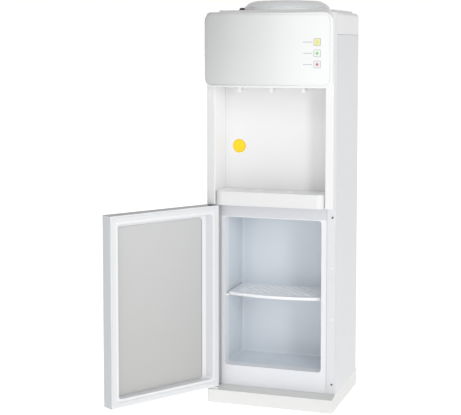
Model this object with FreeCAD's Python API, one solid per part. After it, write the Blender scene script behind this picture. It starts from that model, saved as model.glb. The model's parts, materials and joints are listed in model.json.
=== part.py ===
import FreeCAD, Part
import math
import os

# Free-standing bottled-water cooler with a storage cabinet.
# Millimetres. x to the right, y to the rear, z up. The origin is the centre of the footprint, on the floor.

V = FreeCAD.Vector

# ---- Driving dimensions -------------------------------------------------------------------------
# Body and sheet
body_width = 310.0
body_depth = 268.0
sheet = 1.2                 # painted steel sheet
wall = 2.5                  # moulded plastic wall
fit_gap = 0.3               # between separate pieces that don't move
cut_reach = 10.0            # of a large cutter, past what it cuts
rear_corner_radius = 12.0

# Plinth and feet
plinth_nose_height = 32.0   # top of the plinth at its front face
plinth_height = 38.0        # top of its deck
plinth_corner_radius = 5.0
foot_diameter = 34.0
foot_thickness = 6.0
foot_stud_diameter = 8.0
foot_inset = 34.0           # foot centre from each outer face
stud_clearance = 0.05
rib_height = 12.5           # two ribs under the deck
rib_offset = 51.5           # each rib from the body's middle

# Levels of the front, from the plinth up
hinge_plate = 1.5
hinge_gap = 1.0             # door to hinge plate
door_height = 440.5
recess_height = 288.5       # tap recess, from the underside of its floor to its ceiling
panel_height = 850.0        # side panels above the deck
cover_height = 53.0         # top cover above the side panels
platform_height = 5.0       # raised seat of the bottle collar

# Cabinet front
frame_setback = 30.0        # cabinet front frame behind the plinth's face
flange_width = 22.0         # folded front flange of a side panel, beside the cabinet
flange_width_upper = 14.0   # the same flange beside the tap recess
flange_return = 16.0        # folded rear flange of a side panel
frame_border = 12.7         # front frame beside the opening
opening_height = 363.0
opening_sill = 50.0         # opening above the deck
opening_radius = 8.0
liner_wall = 2.0
insulation_back = 20.0
liner_back_radius = 6.0
rail_width = 6.0
rail_height = 4.0
rail_setback = 8.0          # front end of the ledges, behind the liner's mouth
shelf_level = 172.0         # top of the rails above the cabinet floor
screw_radius = 2.5
screw_length = 9.0
screw_sunk = 0.6            # screw's end behind the flange's face
screw_clearance = 0.2
plug_radius = 4.0
plug_cap = 0.4              # thin enough for the door's seal to pass
plug_stem = 5.2
screw_end_distance = 21.0   # flange screw from the door's end levels
plug_rise_low = 180.0       # covers of the spare hinge holes, above the deck
plug_rise_high = 303.0

# Door, built shut and then swung open
door_side_gap = 0.5         # door's edges inside the body's sides
door_thickness = 34.0
door_seal_gap = 2.0         # door's inner face to the front frame
door_open_angle = 123.0     # as it stands at rest
door_edge_radius = 3.0
door_skin = 2.0
door_liner_sheet = 2.5
door_rim = 20.0             # flat rim round the door's inner recess
door_recess_depth = 14.0
door_recess_slope = 10.0    # how far its hinge side leans in
door_recess_draft = 2.5     # the same for its other three sides
door_panel_margin_side = 13.0
door_panel_margin_end = 5.0
door_panel_sheet = 1.5
door_panel_gap = 1.2        # panel's edge to the foot of the recess's slopes
door_panel_radius = 7.0
gasket_width = 9.0
gasket_inset = 4.0
gasket_rise = 0.8
gasket_groove = 1.5
hinge_inset = 8.5           # hinge axis from the door's edge
hinge_depth = 18.0          # hinge axis behind the door's inner face
hinge_pin_radius = 3.0
hinge_pin_length = 12.0
pin_clearance = 0.05
hinge_bore_spare = 1.0      # bore past the end of its pin
hinge_block = 17.0          # solid blocks round the bores, and the hinge plates' reach
hinge_block_gap = 4.0       # their rear face to the liner
hinge_plate_inset = 1.0     # plate's outer edge inside the body's side
hinge_plate_radius = 3.0
foam_gap = 1.5              # door's foam to the slopes of its recess

# Tap recess
pillar_width = 20.5
recess_depth = 70.0
recess_corner_radius = 4.0
pillar_edge_radius = 3.0
floor_setback = 2.0         # front edge of the recess's floor
lever_window = 1.5          # gap round a lever in the recess's ceiling
lever_window_reach = 10.0   # of the same hole, behind the lever's pin
access_margin = 20.0        # hidden opening behind the fascia, from the recess's sides
access_above_taps = 12.0
access_below_cover = 24.0

# Drip tray
tray_height = 33.0
tray_proud = 8.0            # tray front ahead of the pillars
tray_corner_radius = 20.0
tray_side_gap = 0.5
tray_rear_gap = 1.0
tray_wall = 2.2
tray_ledge = 3.0
grille_thickness = 3.0
grille_sunk = 0.5           # grille's top below the tray's rim
grille_seat_gap = 0.1
grille_rows = 5
grille_columns = 3
grille_slot_shift = 4.0     # slots behind the middle of the recess's depth
grille_slot_width = 2.2
grille_slot_length = 66.0
grille_slot_pitch_x = 80.0
grille_slot_pitch_y = 9.0
finger_notch_length = 9.0
finger_notch_width = 4.5
finger_notch_offset = 64.0
finger_notch_setback = 9.0

# Fascia over the taps
fascia_overhang = 7.5       # fascia's lower edge below the recess ceiling
fascia_height = 174.5
fascia_proud = 17.0         # its side edges ahead of the pillars
fascia_bow = 5.0            # how far its middle stands ahead of its sides
fascia_corner_radius = 20.0
fascia_edge_radius = 3.0
fascia_wall = 3.0
fascia_border = 6.0
fascia_panel_sheet = 2.0
lamp_size = 16.5
lamp_border = 0.9
lamp_depth = 4.0
lamp_radius = 2.5
lamp_inset = 29.5           # lamp centre from the silver panel's edge
lamp_drop = 63.0            # first lamp below the panel's upper edge
lamp_pitch = 25.6
lamp_board_sheet = 1.6
lamp_board_margin = 4.0     # board beside the lamps
lamp_board_end = 18.0       # board past the end lamps' centres
lamp_board_gap = 0.5
lamp_post_radius = 3.0
lamp_post_inset = 5.0
lamp_light_radius = 2.5
lamp_bezel_rise = 0.3
lamp_lens_rise = 0.1
lamp_fit = 0.02             # gap round a bezel and round a lens

# Taps
tap_inset = 56.5            # outer taps' axes from the recess's sides
tap_setback = 15.0          # nozzle axis behind the pillars' face
nozzle_radius = 6.6
nozzle_bore = 4.0
nozzle_reach = 12.0         # below the fascia
tap_block_width = 22.0
tap_block_height = 30.0
tap_block_front = 1.5       # ahead of the nozzle
tap_block_radius = 3.0
nozzle_chamfer = 1.2
cheek_gap = 1.3             # lever to each cheek
cheek_reach = 6.0           # behind the lever's pin
cheek_rise = 7.0            # above the lever's pin
lever_pivot_rise = 11.0     # above the recess ceiling's top
lever_pivot_setback = 14.0  # behind the nozzle's axis
lever_hub_radius = 4.0
lever_width = 13.0
lever_sheet = 3.0
lever_pin_radius = 1.5
lever_pin_grip = 0.02       # gap round the pin in the cheeks
lever_lift = 1.5            # lever's lower end above the nozzle's tip
lever_pad_sheet = 1.2
lever_pad_height = 9.0
lever_edge_radius = 2.0
spigot_radius = 5.0
spigot_length = 20.0
spigot_drop = 7.0           # its axis below the block's top
pipe_radius = 5.0
pipe_bend = 9.0
pipe_clearance = 2.0        # pipe to the sheet that it passes

# Top cover and bottle seat
cover_edge_radius = 10.0
seat_setback = 16.0         # bottle axis behind the middle of the body
platform_side_margin = 14.0
platform_rear_margin = 11.0
platform_radius = 12.0
collar_radius = 104.0
collar_rim_height = 8.0
collar_height = 23.0
collar_top_radius = 67.0
collar_wall = 3.0
collar_face_width = 5.0
collar_bulge_out = 5.5      # middle of the dome, out from and above its chord
collar_bulge_up = 3.4
funnel_depth = 22.0
neck_radius = 29.0
neck_length = 20.0
collar_window_count = 10
collar_window_height = 4.5
collar_window_width = 30.0
collar_window_sill = 1.5
latch_length = 18.0
latch_width = 14.0
latch_height = 4.0
latch_radius = 3.0
latch_gap = 0.5
well_radius = 50.0
well_depth = 66.0
well_wall = 2.5
well_clearance = 1.0        # well to the cover's hole
well_flange = 12.0
spout_radius = 12.0
spout_length = 16.0
spike_radius = 8.0
spike_height = 40.0
spike_wall = 2.5
spike_taper = 8.0           # height of its cone
spike_tip_radius = 3.0
spike_foot_reach = 8.0
spike_foot_height = 3.0
spike_port_width = 4.0
spike_port_sill = 8.0
spike_port_height = 14.0

# Tanks and cooling
cold_tank_radius = 60.0
cold_tank_height = 150.0
tank_jacket_wall = 14.0
jacket_front_wall = 3.5
jacket_radius = 14.0
jacket_rise = 6.0           # above the cold tank
tank_wall = 1.5
tank_end_flat = 0.5         # of the radius, in the middle of a tank's ends
cold_tank_dome = 14.0
hot_tank_dome = 10.0
hot_tank_radius = 44.0
hot_tank_height = 130.0
hot_tank_leg = 20.0
hot_tank_leg_radius = 4.0
hot_tank_leg_inset = 9.0
hot_tank_leg_count = 3
hot_tank_setback = 14.0     # its axis behind the cold tank's
link_offset = 14.0          # link pipe's axis from the hot tank's, towards the middle
port_length = 8.0
port_wall = 1.5
heater_rise = 24.0
heater_height = 22.0
heater_sheet = 3.0
heater_gap = 0.2
shelf_sheet = 1.5
shelf_flange = 14.0
span_to_pipe = 2.0          # plate that carries the tank, behind the hot pipe
compressor_width = 130.0
compressor_depth = 68.0
compressor_height = 135.0
compressor_foot = 8.0
compressor_rear_gap = 3.0
compressor_front_gap = 6.0  # to the cabinet's foam
compressor_radius = 27.0
compressor_top_radius = 15.0
compressor_plate = 3.0
compressor_plate_reach = 18.0
compressor_plate_depth = 48.0
compressor_plate_radius = 6.0
terminal_reach = 16.0
terminal_depth = 36.0
terminal_rise = 40.0
terminal_height = 52.0
grommet_radius = 6.0
grommet_inset = 9.0         # from the can's side, outwards
grommet_pitch = 30.0
condenser_rows = 11
condenser_rise = 70.0       # first row above the rear sheet's lower edge
condenser_top_gap = 10.0    # straps' upper ends below the switches' lip
condenser_width = 230.0
condenser_tube_radius = 2.5
condenser_tube_sides = 8
condenser_stand_off = 9.0
condenser_wire_radius = 0.9
condenser_wire_count = 16
condenser_wire_gap = 0.05
condenser_wire_end = 7.0    # wire past the end rows
condenser_wire_inset = 2.0  # outer wires from the bends
strap_inset = 18.0          # strap's middle from the bends
strap_end = 10.0            # strap past the end rows
strap_width = 12.0
bay_height = 210.0          # open compressor bay above the deck
louvre_count = 7
louvre_pitch = 9.0
louvre_height = 4.0
louvre_length = 70.0
louvre_offset = 55.0        # middle of the louvres from the body's middle
louvre_drop = 28.0          # top louvre below the side panels' top

# Rear controls
switch_width = 46.0
switch_height = 32.0
switch_depth = 18.0
switch_offset = 77.5        # from the body's middle
switch_drop = 52.0          # below the side panels' top
switch_lip = 2.0
switch_lip_sheet = 2.5
switch_floor = 2.0
rocker_width = 14.0
rocker_height = 22.0
rocker_tilt = 8.0
rocker_axle_radius = 1.5
rocker_axle_reach = 2.5     # axle past the rocker's sides
rocker_side_gap = 0.5
rocker_end_gap = 1.2
rocker_front = 5.0          # inside its axle
rocker_tip_rise = 4.5       # outside its axle, at the ends
rocker_waist_rise = 3.0     # and in the middle
rocker_taper = 2.0
gland_radius = 9.0
gland_sheet = 3.0
gland_neck_radius = 7.0
gland_bore_radius = 3.6
gland_inner_reach = 4.0
gland_outer_reach = 6.0
gland_offset = 93.0
gland_rise = 22.0           # above the compressor bay
drain_radius = 11.0
drain_stem_radius = 8.0
drain_stem_length = 22.0
drain_cap = 6.0
drain_grip_width = 4.0
drain_grip_height = 4.0
drain_grip_length = 18.0
drain_offset = 62.0
drain_rise = 30.0

# Shelf
shelf_thickness = 3.0
shelf_band = 7.0            # height of its front band
shelf_side_gap = 2.0
shelf_front_inset = 22.0    # straight side ends of its front edge, behind the frame's face
shelf_bow = 18.0
shelf_rear_gap = 4.0
lozenge_length = 17.0
lozenge_width = 8.0
lozenge_pitch_x = 23.0
lozenge_pitch_y = 12.5
lozenge_margin = 9.0        # plain rim round the holes

# Small disc stuck on the recess's back wall
disc_radius = 16.5
disc_sheet = 0.4
disc_offset = 96.0
disc_rise = 136.0

# ---- Planes and levels worked out from them -----------------------------------------------------
half_width = body_width / 2
front = -body_depth / 2                       # face of the plinth and the pillars
rear = body_depth / 2
frame_face = front + frame_setback            # face of the cabinet's front frame
deck = plinth_height
door_bottom = deck + hinge_plate + hinge_gap
door_top = door_bottom + door_height
recess_floor = door_top + hinge_gap + hinge_plate
recess_ceiling = recess_floor + recess_height
seam = deck + panel_height
cover_top = seam + cover_height
platform_top = cover_top + platform_height
fascia_bottom = recess_ceiling - fascia_overhang
fascia_top = fascia_bottom + fascia_height
opening_bottom = deck + opening_sill
opening_top = opening_bottom + opening_height
opening_width = body_width - 2 * (flange_width + fit_gap + frame_border)
half_opening = opening_width / 2
compressor_y = rear - compressor_rear_gap - compressor_depth / 2
insulation_rear = compressor_y - compressor_depth / 2 - compressor_front_gap
liner_back = insulation_rear - insulation_back - liner_wall
cabinet_top = recess_floor - wall
pillar_inner = half_width - pillar_width
recess_back = front + recess_depth
door_inner_face = frame_face - door_seal_gap
door_outer_face = door_inner_face - door_thickness
half_door = half_width - door_side_gap
hinge_x = -half_door + hinge_inset
hinge_y = door_inner_face - hinge_depth
rail_top = opening_bottom + shelf_level
tap_y = front + tap_setback
tap_floor = recess_ceiling + wall
lever_y = tap_y + lever_pivot_setback
lever_z = tap_floor + lever_pivot_rise
fascia_side_face = front - fascia_proud
panel_half_width = half_width - fascia_border
lamp_x = panel_half_width - lamp_inset
tap_pitch = pillar_inner - tap_inset
tap_places = (-tap_pitch, 0.0, tap_pitch)
tap_names = ("left", "middle", "right")
platform_half_width = half_width - platform_side_margin
platform_half_depth = rear - platform_rear_margin - seat_setback
collar_top = platform_top + collar_height
well_floor = platform_top - well_depth
tank_top = well_floor - spout_length
tank_bottom = tank_top - cold_tank_height
jacket_bottom = tank_bottom - tank_jacket_wall
shelf_plate_z = jacket_bottom - shelf_sheet
tank_y = seat_setback
hot_tank_x = -tap_pitch
hot_tank_y = tank_y + hot_tank_setback
link_x = hot_tank_x + link_offset
hot_tank_bottom = cabinet_top + fit_gap + hot_tank_leg
hot_tank_top = hot_tank_bottom + hot_tank_height
stud_top = plinth_nose_height - 2 * wall
flange_hole_x = half_width - hinge_inset
screw_levels = (door_bottom + screw_end_distance, door_top - screw_end_distance)
plug_levels = (deck + plug_rise_low, deck + plug_rise_high)
hinge_bore_depth = hinge_pin_length + hinge_bore_spare
hinge_block_height = hinge_bore_depth + door_skin
door_recess_floor = door_inner_face - door_recess_depth
tray_base = recess_floor + wall + fit_gap
tray_top = recess_floor + tray_height
tray_ledge_z = tray_top - grille_sunk - grille_thickness - grille_seat_gap
panel_corner_radius = fascia_corner_radius - fascia_border
bow_radius = (half_width ** 2 + fascia_bow ** 2) / (2 * fascia_bow)
first_lamp = fascia_top - fascia_border - lamp_drop
lamp_levels = [first_lamp - i * lamp_pitch for i in range(3)]
nozzle_end = fascia_bottom - nozzle_reach
tap_top = tap_floor + tap_block_height
pipe_level = tap_top - spigot_drop
spigot_end = tap_y + nozzle_radius - 1 + spigot_length
pipe_drop_y = recess_back + wall + pipe_clearance + pipe_radius
hot_port_level = (hot_tank_bottom + hot_tank_top) / 2
hot_port_end = hot_tank_y - hot_tank_radius - port_length
jacket_half_width = cold_tank_radius + tank_jacket_wall
jacket_front = tank_y - cold_tank_radius - jacket_front_wall
condenser_y = rear + condenser_stand_off
rear_face = rear - sheet                      # outer face of the rear sheet
switch_x = -switch_offset
switch_z = seam - switch_drop
condenser_low = deck + bay_height + condenser_rise
condenser_high = switch_z - switch_height / 2 - switch_lip - condenser_top_gap - strap_end
condenser_pitch = (condenser_high - condenser_low) / (condenser_rows - 1)
condenser_rows_z = [condenser_low + i * condenser_pitch for i in range(condenser_rows)]
rocker_places = (switch_x - switch_width / 4, switch_x + switch_width / 4)
rocker_y = rear_face + 0.5
gland_z = deck + bay_height + gland_rise
drain_x = -drain_offset
drain_z = deck + bay_height + drain_rise


# ---- Small helpers ------------------------------------------------------------------------------
# Cutters reach past what they cut, mostly by 1 mm.
def box(x0, x1, y0, y1, z0, z1):
    return Part.makeBox(x1 - x0, y1 - y0, z1 - z0, V(x0, y0, z0))


def cylinder(x, y, z, radius, length, axis=V(0, 0, 1)):
    return Part.makeCylinder(radius, length, V(x, y, z), axis)


def joined(shapes):
    whole = shapes[0]
    if len(shapes) > 1:
        whole = shapes[0].fuse(shapes[1:])
    return whole.removeSplitter()


def without(shape, cutters):
    return shape.cut(cutters)


def edges_along(shape, axis):
    """Straight edges that run along a direction."""
    found = []
    for edge in shape.Edges:
        if isinstance(edge.Curve, Part.Line) and abs(edge.tangentAt(edge.FirstParameter).dot(axis)) > 0.9999:
            found.append(edge)
    return found


def rounded_box(x0, x1, y0, y1, z0, z1, axis, radius):
    """A box whose four edges along an axis are rounded."""
    block = box(x0, x1, y0, y1, z0, z1)
    return block.makeFillet(radius, edges_along(block, axis))


def rounded_rectangle(x0, x1, z0, z1, y, radius):
    """A wire in the plane at y, with round corners."""
    c = radius * (1 - math.sqrt(0.5))
    edges = [
        Part.LineSegment(V(x0 + radius, y, z0), V(x1 - radius, y, z0)).toShape(),
        Part.Arc(V(x1 - radius, y, z0), V(x1 - c, y, z0 + c), V(x1, y, z0 + radius)).toShape(),
        Part.LineSegment(V(x1, y, z0 + radius), V(x1, y, z1 - radius)).toShape(),
        Part.Arc(V(x1, y, z1 - radius), V(x1 - c, y, z1 - c), V(x1 - radius, y, z1)).toShape(),
        Part.LineSegment(V(x1 - radius, y, z1), V(x0 + radius, y, z1)).toShape(),
        Part.Arc(V(x0 + radius, y, z1), V(x0 + c, y, z1 - c), V(x0, y, z1 - radius)).toShape(),
        Part.LineSegment(V(x0, y, z1 - radius), V(x0, y, z0 + radius)).toShape(),
        Part.Arc(V(x0, y, z0 + radius), V(x0 + c, y, z0 + c), V(x0 + radius, y, z0)).toShape(),
    ]
    return Part.Wire(edges)


def prism(points, direction):
    """A polygon swept along a straight direction."""
    return Part.Face(Part.makePolygon(points + [points[0]])).extrude(direction)


def turned(edges, x, y):
    """A closed outline in the XZ plane through (x, y), turned about the upright line there."""
    face = Part.Face(Part.Wire(edges))
    face.translate(V(x, y, 0))
    return face.revolve(V(x, y, 0), V(0, 0, 1), 360)


def line(r0, z0, r1, z1):
    return Part.LineSegment(V(r0, 0, z0), V(r1, 0, z1)).toShape()


def arc(r0, z0, r1, z1, r2, z2):
    return Part.Arc(V(r0, 0, z0), V(r1, 0, z1), V(r2, 0, z2)).toShape()


def outline(points):
    """Straight edges through (radius, height) points, closed."""
    edges = []
    for here, there in zip(points, points[1:] + points[:1]):
        edges.append(line(here[0], here[1], there[0], there[1]))
    return edges


def pipe(points, bend, radius):
    """A round bar along straight runs joined by tangent arcs."""
    parts = []
    start = points[0]
    for before, corner, after in zip(points, points[1:], points[2:]):
        back = (before - corner).normalize()
        on = (after - corner).normalize()
        half = math.acos(max(-1.0, min(1.0, back.dot(on)))) / 2
        cut = bend / math.tan(half)
        first = corner + back * cut
        centre = corner + (back + on).normalize() * (bend / math.sin(half))
        parts.append(Part.makeCylinder(radius, (first - start).Length, start, first - start))
        disc = Part.Face(Part.Wire([Part.makeCircle(radius, first, back)]))
        parts.append(disc.revolve(centre, on.cross(back), 180 - 2 * math.degrees(half)))
        start = corner + on * cut
    parts.append(Part.makeCylinder(radius, (points[-1] - start).Length, start, points[-1] - start))
    return joined(parts)


def mirrored(shape):
    """The same shape on the other side of the body's middle plane."""
    return shape.mirror(V(0, 0, 0), V(1, 0, 0))


def opened(shape):
    """A door piece, built shut, swung to where the door stands."""
    copy = shape.copy()
    copy.rotate(V(hinge_x, hinge_y, 0), V(0, 0, 1), -door_open_angle)
    return copy


# ---- Base ---------------------------------------------------------------------------------------
def foot_places():
    across = half_width - foot_inset
    along = body_depth / 2 - foot_inset
    return [(x, y) for x in (-across, across) for y in (-along, along)]


def make_plinth():
    """Moulded base: a skirt round a deck, with a sloped nose in front and a boss over each foot."""
    outer = rounded_box(-half_width, half_width, front, rear, 0, deck, V(0, 0, 1), plinth_corner_radius)
    nose = prism(
        [
            V(-half_width - 1, front - 1, plinth_nose_height),
            V(-half_width - 1, front, plinth_nose_height),
            V(-half_width - 1, frame_face, deck),
            V(-half_width - 1, front - 1, deck),
        ],
        V(body_width + 2, 0, 0),
    )
    nose_cavity = plinth_nose_height - wall
    behind = frame_face + wall
    inner_half = half_width - wall
    cavity = box(-inner_half, inner_half, front + wall, behind, -1, nose_cavity)
    rear_cavity = box(-inner_half, inner_half, behind - 1, rear - wall, -1, deck - wall)
    body = without(outer, [nose, cavity, rear_cavity])
    parts = [body, hinge_boss()]
    for x, y in foot_places():
        top = nose_cavity if y < behind else deck - wall
        parts.append(cylinder(x, y, foot_thickness + fit_gap, foot_stud_diameter, top - foot_thickness))
    for x in (-rib_offset, rib_offset):
        rib_bottom = deck - rib_height
        parts.append(box(x - wall / 2, x + wall / 2, behind, rear - wall / 2, rib_bottom, deck - wall / 2))
    body = joined(parts)
    bores = []
    for x, y in foot_places():
        bores.append(cylinder(x, y, 0, foot_stud_diameter / 2 + stud_clearance, stud_top))
    return without(body, bores)


def hinge_boss():
    """Flat seat for the lower hinge plate, level with the deck."""
    return box(-half_width, hinge_x + hinge_block, front + wall, frame_face, plinth_nose_height - wall, deck)


def make_feet():
    """Screw feet, standing level with the skirt."""
    feet = []
    for x, y in foot_places():
        pad = cylinder(x, y, 0, foot_diameter / 2, foot_thickness)
        low = foot_thickness / 2
        stud = cylinder(x, y, low, foot_stud_diameter / 2, stud_top - low - fit_gap)
        feet.append(joined([pad, stud]))
    return Part.makeCompound(feet)


# ---- Cabinet shell ------------------------------------------------------------------------------
def make_side_panel():
    """Right-hand sheet panel with a wide front flange and a narrow rear one."""
    r = rear_corner_radius
    outer = rounded_box(0, half_width, frame_face, rear, deck, seam, V(0, 0, 1), r)
    square_front = box(0, half_width, frame_face, frame_face + r + 1, deck, seam)
    solid = outer.fuse(square_front).removeSplitter()
    inner_radius = r - sheet
    inner = rounded_box(
        -1, half_width - sheet, frame_face + sheet, rear - sheet, deck - 1, seam + 1, V(0, 0, 1), inner_radius
    )
    inner_front = box(-1, half_width - sheet, frame_face + sheet, frame_face + r + 1, deck - 1, seam + 1)
    panel = without(solid, [inner.fuse(inner_front)])
    keep_front = half_width - flange_width
    keep_upper = half_width - flange_width_upper
    keep_rear = half_width - rear_corner_radius - flange_return
    panel = without(
        panel,
        [
            box(-1, keep_front, frame_face - 1, 0, deck - 1, seam + 1),
            box(-1, keep_upper, frame_face - 1, 0, recess_floor - fit_gap, seam + 1),
            box(-1, keep_rear, 0, rear + 1, deck - 1, seam + 1),
        ],
    )
    holes = []
    for z in screw_levels + plug_levels:
        holes.append(cylinder(flange_hole_x, frame_face - 1, z, screw_radius, sheet + 2, V(0, 1, 0)))
    return without(panel, holes)


def make_flange_screws():
    """Headless screws, sunk in the end holes of both front flanges."""
    screws = []
    for side in (-1, 1):
        for z in screw_levels:
            x = side * flange_hole_x
            radius = screw_radius - screw_clearance
            screws.append(cylinder(x, frame_face + screw_sunk, z, radius, screw_length, V(0, 1, 0)))
    return Part.makeCompound(screws)


def make_hole_plugs():
    """Flat covers of the spare hinge holes."""
    plugs = []
    for side in (-1, 1):
        for z in plug_levels:
            x = side * flange_hole_x
            stem = cylinder(x, frame_face, z, screw_radius - pin_clearance, plug_stem, V(0, 1, 0))
            cap = cylinder(x, frame_face - plug_cap, z, plug_radius, plug_cap, V(0, 1, 0))
            plugs.append(joined([cap, stem]))
    return Part.makeCompound(plugs)


def make_front_frame():
    """Flat frame round the cabinet's opening, between the side panels' flanges."""
    half = half_width - flange_width - fit_gap
    plate = box(-half, half, frame_face, frame_face + wall, deck + fit_gap, recess_floor - fit_gap)
    hole = rounded_box(
        -half_opening, half_opening, frame_face - 1, frame_face + wall + 1,
        opening_bottom, opening_top, V(0, 1, 0), opening_radius,
    )
    return without(plate, [hole])


def make_liner():
    """Open-fronted cabinet liner with two ledges that carry the shelf."""
    w = liner_wall
    face = frame_face + wall
    outer = rounded_box(
        -half_opening - w, half_opening + w, face, liner_back + w,
        opening_bottom - w, opening_top + w, V(0, 1, 0), opening_radius + w,
    )
    inner = rounded_box(
        -half_opening, half_opening, face - 1, liner_back,
        opening_bottom, opening_top, V(0, 1, 0), opening_radius,
    )
    back_edges = [e for e in inner.Edges if all(abs(v.Y - liner_back) < 1e-6 for v in e.Vertexes)]
    inner = inner.makeFillet(liner_back_radius, back_edges)
    rails = []
    for side in (-1, 1):
        wall_x = side * (half_opening + w / 2)
        edge_x = side * (half_opening - rail_width)
        x0, x1 = min(wall_x, edge_x), max(wall_x, edge_x)
        rails.append(box(x0, x1, face + rail_setback, liner_back + w / 2, rail_top - rail_height, rail_top))
    return joined([without(outer, [inner])] + rails)


def make_cabinet_insulation():
    """Foam that fills the space between the liner and the shell."""
    half = half_width - sheet - fit_gap
    face = frame_face + wall + fit_gap
    block = box(-half, half, face, insulation_rear, deck + fit_gap, cabinet_top)
    w = liner_wall + fit_gap
    pocket = rounded_box(
        -half_opening - w, half_opening + w, face - 1, liner_back + w,
        opening_bottom - w, opening_top + w, V(0, 1, 0), opening_radius + w,
    )
    bores = []
    for side in (-1, 1):
        for z in screw_levels + plug_levels:
            x = side * flange_hole_x
            bores.append(cylinder(x, face - 1, z, screw_radius + fit_gap, screw_length + 1, V(0, 1, 0)))
    return without(block, [pocket] + bores)


def make_rear_panel():
    """Rear sheet above the open compressor bay, behind the side panels' flanges."""
    half = half_width - rear_corner_radius - fit_gap
    face = rear - sheet
    sheet_body = box(-half, half, face - sheet, face, deck + bay_height, seam - fit_gap)
    inside = face - sheet - 1
    w = switch_width / 2 + fit_gap
    h = switch_height / 2 + fit_gap
    holes = [
        box(switch_x - w, switch_x + w, inside, face + 1, switch_z - h, switch_z + h),
        cylinder(gland_offset, inside, gland_z, gland_neck_radius + fit_gap, sheet + 2, V(0, 1, 0)),
        cylinder(drain_x, inside, drain_z, drain_stem_radius + fit_gap, sheet + 2, V(0, 1, 0)),
    ]
    louvres = []
    x0 = louvre_offset - louvre_length / 2
    for row in range(louvre_count):
        z = seam - louvre_drop - row * louvre_pitch
        louvres.append(
            box(x0, x0 + louvre_length, inside, face + 1, z - louvre_height / 2, z + louvre_height / 2)
        )
    return without(sheet_body, holes + louvres)


# ---- Shelf --------------------------------------------------------------------------------------
def shelf_plan(inset):
    """Outline of the shelf: straight sides and back, and a front edge that bows forward."""
    half = half_opening - shelf_side_gap - inset
    back = liner_back - shelf_rear_gap - inset
    front_y = frame_face + shelf_front_inset + inset
    edges = [
        Part.LineSegment(V(half, front_y, 0), V(half, back, 0)).toShape(),
        Part.LineSegment(V(half, back, 0), V(-half, back, 0)).toShape(),
        Part.LineSegment(V(-half, back, 0), V(-half, front_y, 0)).toShape(),
        Part.Arc(V(-half, front_y, 0), V(0, front_y - shelf_bow, 0), V(half, front_y, 0)).toShape(),
    ]
    return Part.Face(Part.Wire(edges))


def make_shelf():
    """Moulded shelf with rows of lozenge holes and a deeper band along its front."""
    z0 = rail_top + fit_gap
    plate = shelf_plan(0).extrude(V(0, 0, shelf_thickness))
    band = shelf_plan(0).extrude(V(0, 0, shelf_band))
    hollow = shelf_plan(shelf_thickness).extrude(V(0, 0, shelf_band + 1))
    keep_x = half_opening - rail_width - 1
    keep = box(
        -keep_x, keep_x, frame_face, frame_face + shelf_front_inset + shelf_thickness, -1, shelf_band + 1
    )
    lip = band.cut(hollow).common(keep)
    lip.translate(V(0, 0, shelf_thickness - shelf_band))
    body = joined([plate, lip])
    body.translate(V(0, 0, z0))
    return without(body, lozenges(z0))


def lozenges(z0):
    """Lozenge-shaped holes in staggered rows, clear of the shelf's rim."""
    cutters = []
    y = liner_back - shelf_rear_gap - lozenge_margin - lozenge_width / 2
    row = 0
    while y > frame_face + shelf_front_inset + lozenge_width:
        shift = (row % 2) * lozenge_pitch_x / 2
        reach = half_opening - shelf_side_gap - lozenge_margin - lozenge_length / 2
        count = int(reach // lozenge_pitch_x) + 1
        for i in range(-count, count + 1):
            x = i * lozenge_pitch_x + shift
            if abs(x) <= reach:
                cutters.append(
                    prism(
                        [
                            V(x - lozenge_length / 2, y, z0 - 1),
                            V(x, y - lozenge_width / 2, z0 - 1),
                            V(x + lozenge_length / 2, y, z0 - 1),
                            V(x, y + lozenge_width / 2, z0 - 1),
                        ],
                        V(0, 0, shelf_thickness + 2),
                    )
                )
        y -= lozenge_pitch_y
        row += 1
    return cutters


# ---- Door ---------------------------------------------------------------------------------------
def door_block():
    """The whole door, shut, with its upright edges rounded."""
    return rounded_box(
        -half_door, half_door, door_outer_face, door_inner_face, door_bottom, door_top,
        V(0, 0, 1), door_edge_radius,
    )


def hinge_bores(radius, depth):
    low = cylinder(hinge_x, hinge_y, door_bottom - 1, radius, depth + 1)
    high = cylinder(hinge_x, hinge_y, door_top - depth, radius, depth + 1)
    return [low, high]


def make_door_shell():
    """Outer door shell, open at the back, with a solid block round each hinge bore."""
    skin_end = door_inner_face - door_liner_sheet
    solid = door_block().common(
        box(-half_door, half_door, door_outer_face, skin_end, door_bottom, door_top)
    )
    s = door_skin
    pocket = box(
        -half_door + s, half_door - s, door_outer_face + s, skin_end + 1, door_bottom + s, door_top - s
    )
    shell = without(solid, [pocket])
    x0, x1 = -half_door + s / 2, hinge_x + hinge_block / 2
    y0, y1 = door_outer_face + s / 2, skin_end - hinge_block_gap
    blocks = [
        box(x0, x1, y0, y1, door_bottom + s / 2, door_bottom + hinge_block_height),
        box(x0, x1, y0, y1, door_top - hinge_block_height, door_top - s / 2),
    ]
    shell = joined([shell] + blocks)
    return without(shell, hinge_bores(hinge_pin_radius + pin_clearance, hinge_bore_depth))


def recess_loft(grow, top_y, bottom_y):
    """Tapered pocket in the door's liner, from its rim down to its floor."""
    x0 = -half_door + door_rim - grow
    x1 = half_door - door_rim + grow
    z0 = door_bottom + door_rim - grow
    z1 = door_top - door_rim + grow
    s, d = door_recess_slope, door_recess_draft
    wide = rounded_rectangle(x0, x1, z0, z1, top_y, door_panel_radius + grow)
    narrow = rounded_rectangle(x0 + s, x1 - d, z0 + d, z1 - d, bottom_y, door_panel_radius + grow)
    return Part.makeLoft([wide, narrow], True, True)


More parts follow.
